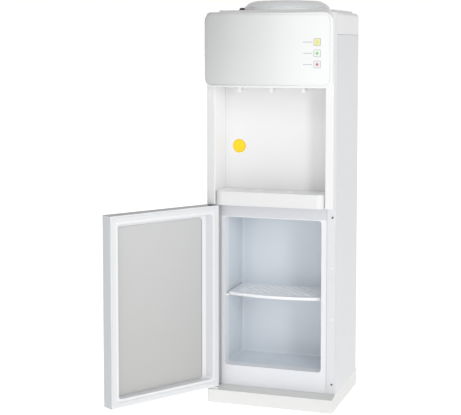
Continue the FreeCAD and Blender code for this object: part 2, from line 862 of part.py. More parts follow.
def make_door_liner():
    """Formed inner skin: a flat rim with a groove for the seal and a tapered recess."""
    t = door_liner_sheet
    rim = door_block().common(
        box(-half_door, half_door, door_inner_face - t, door_inner_face, door_bottom, door_top)
    )
    outer = recess_loft(t, door_inner_face - t / 2, door_recess_floor - t)
    inner = recess_loft(0, door_inner_face, door_recess_floor)
    above = recess_loft(0, door_inner_face + 1, door_inner_face)
    liner = joined([rim, outer])
    liner = without(liner, [inner, above])
    return without(liner, [gasket_ring(gasket_groove, 0.5)])


def gasket_ring(depth, rise):
    a = gasket_inset
    b = gasket_inset + gasket_width
    y0 = door_inner_face - depth
    y1 = door_inner_face + rise
    outer = rounded_box(
        -half_door + a, half_door - a, y0, y1, door_bottom + a, door_top - a, V(0, 1, 0), door_edge_radius + 4
    )
    inner = rounded_box(
        -half_door + b, half_door - b, y0 - 1, y1 + 1, door_bottom + b, door_top - b,
        V(0, 1, 0), door_edge_radius,
    )
    return without(outer, [inner])


def make_door_gasket():
    """Magnetic seal, seated in the liner's groove."""
    return gasket_ring(gasket_groove, gasket_rise)


def make_door_insulation():
    """Foam between the door's shell and its liner."""
    s = door_skin + fit_gap
    end = door_inner_face - door_liner_sheet - fit_gap
    block = box(-half_door + s, half_door - s, door_outer_face + s, end, door_bottom + s, door_top - s)
    t = door_liner_sheet
    pocket = recess_loft(t + foam_gap, door_inner_face + 1, door_recess_floor - t - fit_gap)
    height = hinge_block_height + fit_gap
    x1 = hinge_x + hinge_block / 2 + fit_gap
    corners = [
        box(-half_door, x1, door_outer_face, end + 1, door_bottom, door_bottom + height),
        box(-half_door, x1, door_outer_face, end + 1, door_top - height, door_top),
    ]
    return without(block, [pocket] + corners)


def make_door_panel():
    """Satin panel laid in the floor of the door's recess."""
    x0 = -half_door + door_rim + door_recess_slope + door_panel_margin_side
    x1 = half_door - door_rim - door_recess_draft - door_panel_gap
    z0 = door_bottom + door_rim + door_recess_draft + door_panel_gap
    z1 = door_top - door_rim - door_recess_draft - door_panel_margin_end
    face = Part.Face(rounded_rectangle(x0, x1, z0, z1, door_recess_floor, door_panel_radius))
    return face.extrude(V(0, door_panel_sheet, 0))


def make_hinge(level, up):
    """Hinge plate with its pin; the pin points into the door."""
    x0 = -half_width + hinge_plate_inset
    x1 = hinge_x + hinge_block / 2
    plate_z = level if up else level - hinge_plate
    length = hinge_plate + hinge_gap + hinge_pin_length
    pin_z = level if up else level - length
    plate = rounded_box(
        x0, x1, front + wall, frame_face, plate_z, plate_z + hinge_plate, V(0, 0, 1), hinge_plate_radius
    )
    return joined([plate, cylinder(hinge_x, hinge_y, pin_z, hinge_pin_radius, length)])


# ---- Tap recess ---------------------------------------------------------------------------------
def plan_polyline(points, radii):
    """Open plan outline whose inner corners are rounded; one radius for each inner point."""
    edges = []
    start = points[0]
    for before, corner, after, radius in zip(points, points[1:], points[2:], radii):
        back = (before - corner).normalize()
        on = (after - corner).normalize()
        half = math.acos(max(-1.0, min(1.0, back.dot(on)))) / 2
        cut = radius / math.tan(half)
        first = corner + back * cut
        last = corner + on * cut
        centre = corner + (back + on).normalize() * (radius / math.sin(half))
        middle = centre + (corner - centre).normalize() * radius
        edges.append(Part.LineSegment(start, first).toShape())
        edges.append(Part.Arc(first, middle, last).toShape())
        start = last
    edges.append(Part.LineSegment(start, points[-1]).toShape())
    return edges


def recess_section():
    """Plan section of the pillars and the recess, one wall thick."""
    t = wall
    r = pillar_edge_radius
    c = recess_corner_radius
    outside = [
        V(-half_width, frame_face, 0), V(-half_width, front, 0), V(-pillar_inner, front, 0),
        V(-pillar_inner, recess_back, 0), V(pillar_inner, recess_back, 0), V(pillar_inner, front, 0),
        V(half_width, front, 0), V(half_width, frame_face, 0),
    ]
    inside = [
        V(half_width - t, frame_face, 0), V(half_width - t, front + t, 0),
        V(pillar_inner + t, front + t, 0), V(pillar_inner + t, recess_back + t, 0),
        V(-pillar_inner - t, recess_back + t, 0), V(-pillar_inner - t, front + t, 0),
        V(-half_width + t, front + t, 0), V(-half_width + t, frame_face, 0),
    ]
    edges = plan_polyline(outside, [r, r, c, c, r, r])
    edges.append(Part.LineSegment(outside[-1], inside[0]).toShape())
    edges += plan_polyline(inside, [0.5, 0.5, c + t, c + t, 0.5, 0.5])
    edges.append(Part.LineSegment(inside[-1], outside[0]).toShape())
    return Part.Face(Part.Wire(edges))


def make_tap_recess():
    """Front moulding: pillars, tap recess, tray floor, ceiling and the wall behind the fascia."""
    t = wall
    section = recess_section()
    tub = section.extrude(V(0, 0, recess_height + t))
    tub.translate(V(0, 0, recess_floor))
    floor = box(-pillar_inner - t / 2, pillar_inner + t / 2, front + floor_setback, recess_back + t / 2,
                recess_floor, recess_floor + t)
    pillar_ends = []
    for side in (-1, 1):
        x0, x1 = sorted((side * (pillar_inner + t / 2), side * (half_width - t / 2)))
        pillar_ends.append(box(x0, x1, front + t / 2, frame_face, recess_floor, recess_floor + t))
    ceiling = box(-pillar_inner - t / 2, pillar_inner + t / 2, front + t, recess_back + t / 2,
                  recess_ceiling, recess_ceiling + t)
    brow = box(-half_width, half_width, front, front + t, recess_ceiling, cover_top - t - fit_gap)
    sides = []
    for side in (-1, 1):
        x0, x1 = sorted((side * (half_width - t), side * half_width))
        sides.append(box(x0, x1, front, frame_face, recess_ceiling, cover_top - t - fit_gap))
    body = joined([tub, floor, ceiling, brow] + pillar_ends + sides)
    windows = []
    for x in tap_places:
        half = lever_width / 2 + lever_window
        windows.append(
            box(x - half, x + half, tap_y - nozzle_radius - lever_window / 3, lever_y + lever_window_reach,
                recess_ceiling - 1, recess_ceiling + t + 1)
        )
    half = pillar_inner - access_margin
    low, high = tap_top + access_above_taps, cover_top - access_below_cover
    access = box(-half, half, front - 1, front + t + 1, low, high)
    return without(body, windows + [access])


def make_disc():
    """Plain round disc on the recess's back wall."""
    z = recess_floor + disc_rise
    return cylinder(-disc_offset, recess_back - disc_sheet, z, disc_radius, disc_sheet, V(0, 1, 0))


# ---- Drip tray ----------------------------------------------------------------------------------
def tray_plan(inset):
    """Plan of the drip tray, its two front corners well rounded."""
    half = pillar_inner - tray_side_gap - inset
    y0 = front - tray_proud + inset
    y1 = recess_back - tray_rear_gap - inset
    r = max(tray_corner_radius - inset, 1.0)
    b = recess_corner_radius + tray_rear_gap
    c = r * (1 - math.sqrt(0.5))
    d = b * (1 - math.sqrt(0.5))
    edges = [
        Part.LineSegment(V(-half + r, y0, 0), V(half - r, y0, 0)).toShape(),
        Part.Arc(V(half - r, y0, 0), V(half - c, y0 + c, 0), V(half, y0 + r, 0)).toShape(),
        Part.LineSegment(V(half, y0 + r, 0), V(half, y1 - b, 0)).toShape(),
        Part.Arc(V(half, y1 - b, 0), V(half - d, y1 - d, 0), V(half - b, y1, 0)).toShape(),
        Part.LineSegment(V(half - b, y1, 0), V(-half + b, y1, 0)).toShape(),
        Part.Arc(V(-half + b, y1, 0), V(-half + d, y1 - d, 0), V(-half, y1 - b, 0)).toShape(),
        Part.LineSegment(V(-half, y1 - b, 0), V(-half, y0 + r, 0)).toShape(),
        Part.Arc(V(-half, y0 + r, 0), V(-half + c, y0 + c, 0), V(-half + r, y0, 0)).toShape(),
    ]
    return Part.Face(Part.Wire(edges))


def tray_slab(inset, z0, z1):
    slab = tray_plan(inset).extrude(V(0, 0, z1 - z0))
    slab.translate(V(0, 0, z0))
    return slab


def make_drip_tray():
    """Pull-out tray with a ledge for its grille and a front that hides the floor's edge."""
    w = tray_wall
    body = tray_slab(0, tray_base, tray_top)
    skirt = tray_slab(0, recess_floor + fit_gap, tray_base + 1)
    skirt_back = front + floor_setback - fit_gap
    skirt = skirt.common(box(-half_width, half_width, front - tray_proud - 1, skirt_back, 0, tray_top))
    rest = tray_slab(w, tray_ledge_z, tray_top + 1)
    basin = tray_slab(w + tray_ledge, tray_base + w, tray_ledge_z + 1)
    return without(joined([body, skirt]), [rest, basin])


def make_drip_grille():
    """Lift-out top of the drip tray: rows of slots and two finger notches."""
    z0 = tray_ledge_z + grille_seat_gap
    plate = tray_slab(tray_wall + fit_gap, z0, z0 + grille_thickness)
    cutters = []
    middle_y = (front + recess_back) / 2 + grille_slot_shift
    for row in range(grille_rows):
        y = middle_y + (row - (grille_rows - 1) / 2) * grille_slot_pitch_y
        for column in range(grille_columns):
            x = (column - (grille_columns - 1) / 2) * grille_slot_pitch_x
            cutters.append(obround(x, y, grille_slot_length, grille_slot_width, z0))
    y = front + finger_notch_setback
    for side in (-1, 1):
        cutters.append(obround(side * finger_notch_offset, y, finger_notch_length, finger_notch_width, z0))
    return without(plate, cutters)


def obround(x, y, length, width, z0):
    """A slot with round ends, along x."""
    r = width / 2
    a = length / 2 - r
    edges = [
        Part.LineSegment(V(x - a, y - r, z0 - 1), V(x + a, y - r, z0 - 1)).toShape(),
        Part.Arc(V(x + a, y - r, z0 - 1), V(x + a + r, y, z0 - 1), V(x + a, y + r, z0 - 1)).toShape(),
        Part.LineSegment(V(x + a, y + r, z0 - 1), V(x - a, y + r, z0 - 1)).toShape(),
        Part.Arc(V(x - a, y + r, z0 - 1), V(x - a - r, y, z0 - 1), V(x - a, y - r, z0 - 1)).toShape(),
    ]
    return Part.Face(Part.Wire(edges)).extrude(V(0, 0, grille_thickness + 2))


# ---- Fascia -------------------------------------------------------------------------------------
def bow_y(x):
    """Front surface of the bowed fascia at x."""
    return fascia_side_face - fascia_bow + x * x / (2 * bow_radius)


def bowed_slab(offset, back_y):
    """Everything between the bowed face, moved in by an offset, and a flat plane behind it."""
    x = half_width + 5
    side_y = bow_y(x) + offset
    middle_y = bow_y(0) + offset
    edges = [
        Part.Arc(V(-x, side_y, 0), V(0, middle_y, 0), V(x, side_y, 0)).toShape(),
        Part.LineSegment(V(x, side_y, 0), V(x, back_y, 0)).toShape(),
        Part.LineSegment(V(x, back_y, 0), V(-x, back_y, 0)).toShape(),
        Part.LineSegment(V(-x, back_y, 0), V(-x, side_y, 0)).toShape(),
    ]
    slab = Part.Face(Part.Wire(edges)).extrude(V(0, 0, fascia_height + 2 * cut_reach))
    slab.translate(V(0, 0, fascia_bottom - cut_reach))
    return slab


def fascia_plate(inset, radius, offset, back_y):
    """Rounded rectangle seen from the front, cut to the bowed face."""
    block = rounded_box(
        -half_width + inset, half_width - inset, bow_y(0) - cut_reach, back_y,
        fascia_bottom + inset, fascia_top - inset, V(0, 1, 0), radius,
    )
    return block.common(bowed_slab(offset, back_y + 1))


def make_fascia_frame():
    """White fascia shell: rounded outer edge, hollow behind, with a seat for the silver panel."""
    outer = fascia_plate(0, fascia_corner_radius, 0, front)
    rim = [e for e in outer.Edges if max(v.Y for v in e.Vertexes) < front - 5]
    outer = outer.makeFillet(fascia_edge_radius, rim)
    depth = fascia_wall + fascia_panel_sheet
    hollow = fascia_plate(fascia_wall, fascia_corner_radius - fascia_wall, depth, front + 1)
    seat = fascia_plate(fascia_border - fit_gap, panel_corner_radius + fit_gap, -cut_reach / 2, 0)
    seat = seat.cut(bowed_slab(fascia_panel_sheet, rear))
    return without(outer, [hollow, seat] + lamp_pockets())


def make_fascia_panel():
    """Silver face of the fascia, bowed like it, with a square hole for each lamp."""
    plate = fascia_plate(fascia_border, panel_corner_radius, 0, front)
    plate = plate.cut(bowed_slab(fascia_panel_sheet, rear))
    return without(plate, lamp_pockets())


def lamp_block(size, depth, z, radius, sunk):
    """Square block on the bowed face, turned to lie along it."""
    block = rounded_box(-size / 2, size / 2, sunk, depth, z - size / 2, z + size / 2, V(0, 1, 0), radius)
    block.rotate(V(0, 0, 0), V(0, 0, 1), math.degrees(math.asin(lamp_x / bow_radius)))
    block.translate(V(lamp_x, bow_y(lamp_x), 0))
    return block


def lamp_pockets():
    return [lamp_block(lamp_size, lamp_depth + cut_reach, z, lamp_radius, -3) for z in lamp_levels]


def make_lamp_bezels():
    """Thin square frames round the three lamps."""
    rings = []
    for z in lamp_levels:
        outer = lamp_block(lamp_size - 2 * lamp_fit, lamp_depth, z, lamp_radius, -lamp_bezel_rise)
        inner = lamp_block(lamp_size - 2 * lamp_border, lamp_depth + 1, z, lamp_radius - lamp_border, -1)
        rings.append(without(outer, [inner]))
    return Part.makeCompound(rings)


def make_lamp_lens(z):
    size = lamp_size - 2 * lamp_border - 2 * lamp_fit
    return lamp_block(size, lamp_depth, z, lamp_radius - lamp_border, -lamp_lens_rise)


def make_lamp_board():
    """Circuit board behind the lamps, on two posts from the moulding."""
    half = lamp_size / 2 + lamp_board_margin
    y = bow_y(lamp_x + half) + fascia_wall + fascia_panel_sheet + lamp_board_gap
    z0 = lamp_levels[-1] - lamp_board_end
    z1 = lamp_levels[0] + lamp_board_end
    board = box(lamp_x - half, lamp_x + half, y, y + lamp_board_sheet, z0, z1)
    posts = []
    post_y = y + lamp_board_sheet / 2
    for z in (z0 + lamp_post_inset, z1 - lamp_post_inset):
        posts.append(cylinder(lamp_x, post_y, z, lamp_post_radius, front - post_y, V(0, 1, 0)))
    lights = []
    light_y = bow_y(lamp_x) + lamp_depth + fit_gap
    for z in lamp_levels:
        lights.append(cylinder(lamp_x, light_y, z, lamp_light_radius, post_y - light_y, V(0, 1, 0)))
    return joined([board] + posts + lights)


# ---- Taps ---------------------------------------------------------------------------------------
def make_tap_body(x):
    """Valve block with its nozzle, two cheeks for the lever's pin and a spigot to the rear."""
    half = tap_block_width / 2
    y_front = tap_y - nozzle_radius - tap_block_front
    y_back = tap_y + nozzle_radius
    block = rounded_box(x - half, x + half, y_front, y_back, tap_floor, tap_top, V(0, 0, 1), tap_block_radius)
    nozzle = cylinder(x, tap_y, nozzle_end, nozzle_radius, tap_floor - nozzle_end + 1)
    tip = [e for e in nozzle.Edges if abs(e.CenterOfMass.z - nozzle_end) < 1e-6]
    nozzle = nozzle.makeChamfer(nozzle_chamfer, tip)
    cheeks = []
    for side in (-1, 1):
        x0, x1 = sorted((x + side * (lever_width / 2 + cheek_gap), x + side * half))
        cheeks.append(box(x0, x1, y_back - 1, lever_y + cheek_reach, tap_floor, lever_z + cheek_rise))
    spigot = cylinder(x, y_back - 1, pipe_level, spigot_radius, spigot_length, V(0, 1, 0))
    body = joined([block, nozzle, spigot] + cheeks)
    bore = cylinder(x, tap_y, nozzle_end - 1, nozzle_bore, pipe_level - nozzle_end + 1)
    pin_radius = lever_pin_radius + lever_pin_grip
    pin_hole = cylinder(x - half - 1, lever_y, lever_z, pin_radius, tap_block_width + 2, V(1, 0, 0))
    return without(body, [bore, pin_hole])


def make_tap_pins():
    pins = []
    for x in tap_places:
        pins.append(
            cylinder(x - tap_block_width / 2, lever_y, lever_z, lever_pin_radius, tap_block_width, V(1, 0, 0))
        )
    return Part.makeCompound(pins)


def make_tap_lever(x):
    """Push lever behind a nozzle: a hub on the pin and a paddle that hangs below it."""
    w = lever_width / 2
    hub_w = w + cheek_gap * 0.8
    hub = cylinder(x - hub_w, lever_y, lever_z, lever_hub_radius, 2 * hub_w, V(1, 0, 0))
    low = nozzle_end + lever_lift
    face = lever_y - lever_sheet
    paddle = rounded_box(x - w, x + w, face, lever_y, low, lever_z, V(0, 1, 0), lever_edge_radius)
    pad_top = low + lever_pad_height
    pad_face = face - lever_pad_sheet
    pad = rounded_box(x - w, x + w, pad_face, lever_y, low, pad_top, V(0, 1, 0), lever_edge_radius)
    bore_radius = lever_pin_radius + pin_clearance
    bore = cylinder(x - hub_w - 1, lever_y, lever_z, bore_radius, 2 * hub_w + 2, V(1, 0, 0))
    return without(joined([hub, paddle, pad]), [bore])


def make_cold_pipe():
    """From the right tap to the cold tank's jacket."""
    x = tap_places[2]
    inner = cold_tank_radius * 0.4
    turn_y = (spigot_end + jacket_front) / 2
    points = [
        V(x, spigot_end, pipe_level), V(x, turn_y, pipe_level),
        V(inner, turn_y, pipe_level), V(inner, jacket_front, pipe_level),
    ]
    return pipe(points, pipe_bend, pipe_radius)


def make_warm_pipe():
    """From the middle tap straight to the tank's jacket."""
    return cylinder(0, spigot_end, pipe_level, pipe_radius, jacket_front - spigot_end, V(0, 1, 0))


def make_hot_pipe():
    """From the left tap down behind the recess to the hot tank."""
    x = tap_places[0]
    points = [
        V(x, spigot_end, pipe_level), V(x, pipe_drop_y, pipe_level),
        V(x, pipe_drop_y, hot_port_level), V(x, hot_port_end, hot_port_level),
    ]
    return pipe(points, pipe_bend, pipe_radius)


# ---- Top cover and bottle seat ------------------------------------------------------------------
def make_top_cover():
    """Cover with a round-cornered rear, a front apron over the moulding and a raised bottle platform."""
    r = rear_corner_radius
    outer = rounded_box(-half_width, half_width, front, rear, seam, cover_top, V(0, 0, 1), r)
    square_front = box(-half_width, half_width, front, front + r + 1, seam, cover_top)
    outer = outer.fuse(square_front).removeSplitter()
    top_edges = []
    for edge in outer.Edges:
        on_top = all(abs(v.Z - cover_top) < 1e-6 for v in edge.Vertexes)
        if on_top and max(v.Y for v in edge.Vertexes) > front + 1:
            top_edges.append(edge)
    outer = outer.makeFillet(cover_edge_radius, top_edges)
    t = wall
    inner = rounded_box(
        -half_width + t, half_width - t, front - cut_reach, rear - t, seam - 1, cover_top - t,
        V(0, 0, 1), r - t,
    )
    inner_edges = []
    for edge in inner.Edges:
        if all(abs(v.Z - (cover_top - t)) < 1e-6 for v in edge.Vertexes):
            inner_edges.append(edge)
    inner = inner.makeFillet(cover_edge_radius - t, inner_edges)
    nose_room = box(-half_width - 1, half_width + 1, front - 1, frame_face, seam - 1, cover_top - t)
    platform = rounded_box(
        -platform_half_width, platform_half_width, seat_setback - platform_half_depth,
        seat_setback + platform_half_depth, cover_top - t / 2, platform_top, V(0, 0, 1), platform_radius,
    )
    body = joined([without(outer, [inner, nose_room]), platform])
    hole = cylinder(0, seat_setback, seam, well_radius + well_clearance, platform_top - seam + 1)
    return without(body, [hole])


def make_collar():
    """Bottle collar: a domed ring with a flat seat, a funnel, a neck sleeve and windows round its foot."""
    t = collar_wall
    z0 = platform_top
    rim = z0 + collar_rim_height
    top = collar_top
    ro = collar_radius
    seat_out = collar_top_radius
    seat_in = collar_top_radius - collar_face_width
    neck_top = top - funnel_depth
    neck_end = neck_top - neck_length
    bulge_r = (ro + seat_out) / 2 + collar_bulge_out
    bulge_z = (rim + top) / 2 + collar_bulge_up
    edges = [
        line(ro, z0, ro, rim),
        arc(ro, rim, bulge_r, bulge_z, seat_out, top),
        line(seat_out, top, seat_in, top),
        line(seat_in, top, neck_radius, neck_top),
        line(neck_radius, neck_top, neck_radius, neck_end),
        line(neck_radius, neck_end, neck_radius + t, neck_end),
        line(neck_radius + t, neck_end, neck_radius + t, neck_top - t / 2),
        line(neck_radius + t, neck_top - t / 2, seat_in + t / 2, top - t),
        line(seat_in + t / 2, top - t, seat_out - t / 2, top - t),
        line(seat_out - t / 2, top - t, bulge_r - t, bulge_z - t),
        line(bulge_r - t, bulge_z - t, ro - t, rim - t / 4),
        line(ro - t, rim - t / 4, ro - t, z0),
        line(ro - t, z0, ro, z0),
    ]
    collar = turned(edges, 0, seat_setback)
    windows = []
    for i in range(collar_window_count):
        sill = z0 + collar_window_sill
        half = collar_window_width / 2
        window = box(-half, half, ro - t - 4, ro + 5, sill, sill + collar_window_height)
        window.rotate(V(0, 0, 0), V(0, 0, 1), i * 360.0 / collar_window_count)
        window.translate(V(0, seat_setback, 0))
        windows.append(window)
    return without(collar, windows)


def make_collar_latch():
    """Small dark catch beside the collar, on the platform."""
    x1 = -collar_radius - latch_gap
    y0 = seat_setback - latch_width / 2
    return rounded_box(
        x1 - latch_length, x1, y0, y0 + latch_width, platform_top, platform_top + latch_height,
        V(0, 0, 1), latch_radius,
    )


def make_bottle_well():
    """Cup under the collar that takes the bottle's neck, with a spout down to the tank."""
    r = well_radius
    t = well_wall
    z1 = platform_top
    z0 = well_floor
    so = spout_radius
    points = [
        (so - t, z0 - spout_length), (so, z0 - spout_length), (so, z0 - t), (r, z0 - t),
        (r, z1), (r + well_flange, z1), (r + well_flange, z1 + t), (r - t, z1 + t), (r - t, z0), (so - t, z0),
    ]
    return turned(outline(points), 0, seat_setback)


def make_feed_spike():
    """Hollow spike that opens the bottle's cap, on a flange round the well's outlet."""
    z0 = well_floor
    r = spike_radius
    bore = r - spike_wall
    tip = z0 + spike_height
    foot = r + spike_foot_reach
    points = [
        (bore, z0), (foot, z0), (foot, z0 + spike_foot_height), (r, z0 + spike_foot_height * 5 / 3),
        (r, tip - spike_taper), (spike_tip_radius, tip), (spike_tip_radius / 2, tip),
        (bore, tip - spike_taper - 1),
    ]
    spike = turned(outline(points), 0, seat_setback)
    half = spike_port_width / 2
    sill = z0 + spike_port_sill
    port = box(-half, half, seat_setback - r - 2, seat_setback + r + 2, sill, sill + spike_port_height)
    return without(spike, [port])


# ---- Tanks --------------------------------------------------------------------------------------
def tank_shell(x, y, z0, z1, radius, dome):
    """Thin-walled upright tank; each end is a flat middle on a conical shoulder."""
    skins = []
    for w in (0.0, tank_wall):
        r, low, high = radius - w, z0 + w, z1 - w
        flat = radius * tank_end_flat
        points = [(0, low), (flat, low), (r, low + dome), (r, high - dome), (flat, high), (0, high)]
        skins.append(turned(outline(points), x, y))
    return without(skins[0], [skins[1]])


def make_cold_tank():
    """Stainless cold tank."""
    return tank_shell(0, tank_y, tank_bottom, tank_top, cold_tank_radius, cold_tank_dome)


def make_tank_jacket():
    """Foam block round the cold tank, open on top under the well's spout."""
    half = jacket_half_width
    y1 = tank_y + jacket_half_width
    top = tank_top + jacket_rise
    block = rounded_box(-half, half, jacket_front, y1, jacket_bottom, top, V(0, 0, 1), jacket_radius)
    pocket_radius = cold_tank_radius + fit_gap
    pocket = cylinder(0, tank_y, tank_bottom, pocket_radius, cold_tank_height + 2 * cut_reach)
    return without(block, [pocket])


def make_tank_shelf():
    """Sheet bridge between the side panels that carries the cold tank."""
    half = half_width - sheet - fit_gap
    y0 = pipe_drop_y + pipe_radius + span_to_pipe
    y1 = rear - 2 * sheet - fit_gap
    r = rear_corner_radius
    plate = rounded_box(-half, half, y0, y1, shelf_plate_z, jacket_bottom, V(0, 0, 1), r)
    flange_z = shelf_plate_z - shelf_flange
    flanges = [
        box(-half, -half + shelf_sheet, y0 + r, y1 - r, flange_z, jacket_bottom),
        box(half - shelf_sheet, half, y0 + r, y1 - r, flange_z, jacket_bottom),
    ]
    hole_radius = pipe_radius + pipe_clearance
    hole = cylinder(link_x, hot_tank_y, shelf_plate_z - 1, hole_radius, shelf_sheet + 2)
    return without(joined([plate] + flanges), [hole])


def make_hot_tank():
    """Stainless hot tank on legs, with a port towards its pipe."""
    r = hot_tank_radius
    tank = tank_shell(hot_tank_x, hot_tank_y, hot_tank_bottom, hot_tank_top, r, hot_tank_dome)
    port_radius = pipe_radius + port_wall
    reach = port_length + tank_wall / 2
    port = cylinder(hot_tank_x, hot_port_end, hot_port_level, port_radius, reach, V(0, 1, 0))
    ring = r - hot_tank_leg_inset
    slope = hot_tank_dome / (r * (1 - tank_end_flat))
    rise = hot_tank_leg + (ring - r * tank_end_flat) * slope + tank_wall / 2
    legs = []
    for i in range(hot_tank_leg_count):
        angle = math.radians(90 + i * 360.0 / hot_tank_leg_count)
        x = hot_tank_x + ring * math.cos(angle)
        y = hot_tank_y + ring * math.sin(angle)
        legs.append(cylinder(x, y, cabinet_top + fit_gap, hot_tank_leg_radius, rise))
    return joined([tank, port] + legs)


def make_heater_band():
    """Band heater clamped round the hot tank."""
    r = hot_tank_radius + heater_gap
    z = hot_tank_bottom + heater_rise
    outer = cylinder(hot_tank_x, hot_tank_y, z, r + heater_sheet, heater_height)
    inner = cylinder(hot_tank_x, hot_tank_y, z - 1, r, heater_height + 2)
    return without(outer, [inner])


def make_link_pipe():
    """Feeds the hot tank from the cold tank's jacket, through the shelf."""
    return cylinder(link_x, hot_tank_y, hot_tank_top, pipe_radius, jacket_bottom - hot_tank_top)


# ---- Compressor and condenser -------------------------------------------------------------------
def make_compressor():
    """Sealed compressor: a rounded steel can with a base plate and a terminal box."""
    y = compressor_y
    w, d = compressor_width / 2, compressor_depth / 2
    z0 = deck + compressor_foot + compressor_plate - 1
    z1 = z0 + compressor_height
    can = rounded_box(-w, w, y - d, y + d, z0, z1, V(0, 0, 1), compressor_radius)
    rims = [e for e in can.Edges if all(abs(v.Z - z1) < 1e-6 for v in e.Vertexes)]
    can = can.makeFillet(compressor_top_radius, rims)
    reach = w + compressor_plate_reach
    half = compressor_plate_depth / 2
    foot = deck + compressor_foot
    plate = rounded_box(
        -reach, reach, y - half, y + half, foot, foot + compressor_plate, V(0, 0, 1), compressor_plate_radius
    )
    half = terminal_depth / 2
    low = z0 + terminal_rise
    terminals = rounded_box(
        w - 4, w + terminal_reach, y - half, y + half, low, low + terminal_height, V(1, 0, 0), 4.0
    )
    return joined([can, plate, terminals])


def make_compressor_grommets():
    """Rubber feet between the compressor's plate and the deck."""
    grommets = []
    across = compressor_width / 2 + grommet_inset
    for x in (-across, across):
        for side in (-1, 1):
            y = compressor_y + side * grommet_pitch / 2
            grommets.append(cylinder(x, y, deck, grommet_radius, compressor_foot))
    return Part.makeCompound(grommets)


def condenser_section(x, z):
    """Section of the condenser's tube in the plane at x; few-sided, because its bends are many."""
    points = []
    for i in range(condenser_tube_sides):
        angle = math.radians((i + 0.5) * 360.0 / condenser_tube_sides)
        rise = condenser_tube_radius * math.sin(angle)
        points.append(V(x, condenser_y + condenser_tube_radius * math.cos(angle), z + rise))
    return Part.Face(Part.makePolygon(points + [points[0]]))


def make_condenser_tube():
    """One tube that runs to and fro up the rear."""
    half = condenser_width / 2 - condenser_pitch / 2
    parts = []
    side = 1
    for z in condenser_rows_z:
        parts.append(condenser_section(-half, z).extrude(V(2 * half, 0, 0)))
        if z < condenser_rows_z[-1]:
            centre = V(side * half, condenser_y, z + condenser_pitch / 2)
            parts.append(condenser_section(side * half, z).revolve(centre, V(0, -side, 0), 180))
            side = -side
    return joined(parts)


def make_condenser_wires():
    """Upright wires across the tube's rows, on its outer side."""
    wires = []
    y = condenser_y + condenser_tube_radius + condenser_wire_radius + condenser_wire_gap
    reach = condenser_width / 2 - condenser_pitch / 2 - condenser_wire_inset
    low = condenser_rows_z[0] - condenser_wire_end
    length = condenser_rows_z[-1] + condenser_wire_end - low
    for i in range(condenser_wire_count):
        x = -reach + i * 2 * reach / (condenser_wire_count - 1)
        wires.append(cylinder(x, y, low, condenser_wire_radius, length))
    return Part.makeCompound(wires)


def make_condenser_straps():
    """Sheet straps that hold the condenser off the rear panel."""
    straps = []
    half = strap_width / 2
    low = condenser_rows_z[0] - strap_end
    high = condenser_rows_z[-1] + strap_end
    for side in (-1, 1):
        x = side * (condenser_width / 2 - condenser_pitch / 2 - strap_inset)
        straps.append(box(x - half, x + half, rear_face, condenser_y - condenser_tube_radius, low, high))
    return Part.makeCompound(straps)


# ---- Rear controls ------------------------------------------------------------------------------
def make_switch_housing():
    """Black housing of the two rear switches, with a lip outside the sheet."""
    x, z = switch_x, switch_z
    w, h = switch_width / 2, switch_height / 2
    back = rear_face - switch_depth
    body = box(x - w, x + w, back, rear_face, z - h, z + h)
    lip_w, lip_h = w + switch_lip, h + switch_lip
    lip = rounded_box(
        x - lip_w, x + lip_w, rear_face, rear_face + switch_lip_sheet, z - lip_h, z + lip_h,
        V(0, 1, 0), switch_lip,
    )
    pockets = []
    half = rocker_width / 2 + rocker_side_gap
    rise = rocker_height / 2 + rocker_end_gap
    bore = rocker_axle_radius + pin_clearance
    axle_half = rocker_width / 2 + rocker_axle_reach + rocker_side_gap
    for px in rocker_places:
        pockets.append(box(px - half, px + half, back + switch_floor, rear + cut_reach, z - rise, z + rise))
        pockets.append(cylinder(px - axle_half, rocker_y, z, bore, 2 * axle_half, V(1, 0, 0)))
    return without(joined([body, lip]), pockets)


def make_rocker(x):
    """Rocker with its axle, tipped to its on side."""
    y, z = rocker_y, switch_z
    half = rocker_height / 2
    w = rocker_width / 2
    points = [
        V(x - w, y - rocker_front, z - half + rocker_taper), V(x - w, y + rocker_tip_rise, z - half),
        V(x - w, y + rocker_waist_rise, z), V(x - w, y + rocker_tip_rise, z + half),
        V(x - w, y - rocker_front, z + half - rocker_taper),
    ]
    body = prism(points, V(rocker_width, 0, 0))
    reach = w + rocker_axle_reach
    axle = cylinder(x - reach, y, z, rocker_axle_radius, 2 * reach, V(1, 0, 0))
    rocker = joined([body, axle])
    rocker.rotate(V(x, y, z), V(1, 0, 0), rocker_tilt)
    return rocker


def make_cord_gland():
    """Bush in the rear sheet where the mains lead would leave."""
    inner = rear_face - sheet - gland_inner_reach
    length = rear_face + gland_outer_reach - inner
    neck = cylinder(gland_offset, inner, gland_z, gland_neck_radius, length, V(0, 1, 0))
    flange = cylinder(gland_offset, rear_face, gland_z, gland_radius, gland_sheet, V(0, 1, 0))
    bore = cylinder(gland_offset, inner - 1, gland_z, gland_bore_radius, length + 2, V(0, 1, 0))
    return without(joined([neck, flange]), [bore])


def make_drain_plug():
    """Cap of the drain outlet, with a grip bar."""
    stem_y = rear_face - drain_stem_length
    stem = cylinder(drain_x, stem_y, drain_z, drain_stem_radius, drain_stem_length, V(0, 1, 0))
    cap = cylinder(drain_x, rear_face, drain_z, drain_radius, drain_cap, V(0, 1, 0))
    w, h = drain_grip_width / 2, drain_grip_length / 2
    top = rear_face + drain_cap
    grip = rounded_box(
        drain_x - w, drain_x + w, top - 1, top + drain_grip_height, drain_z - h, drain_z + h, V(1, 0, 0), 1.5
    )
    return joined([stem, cap, grip])


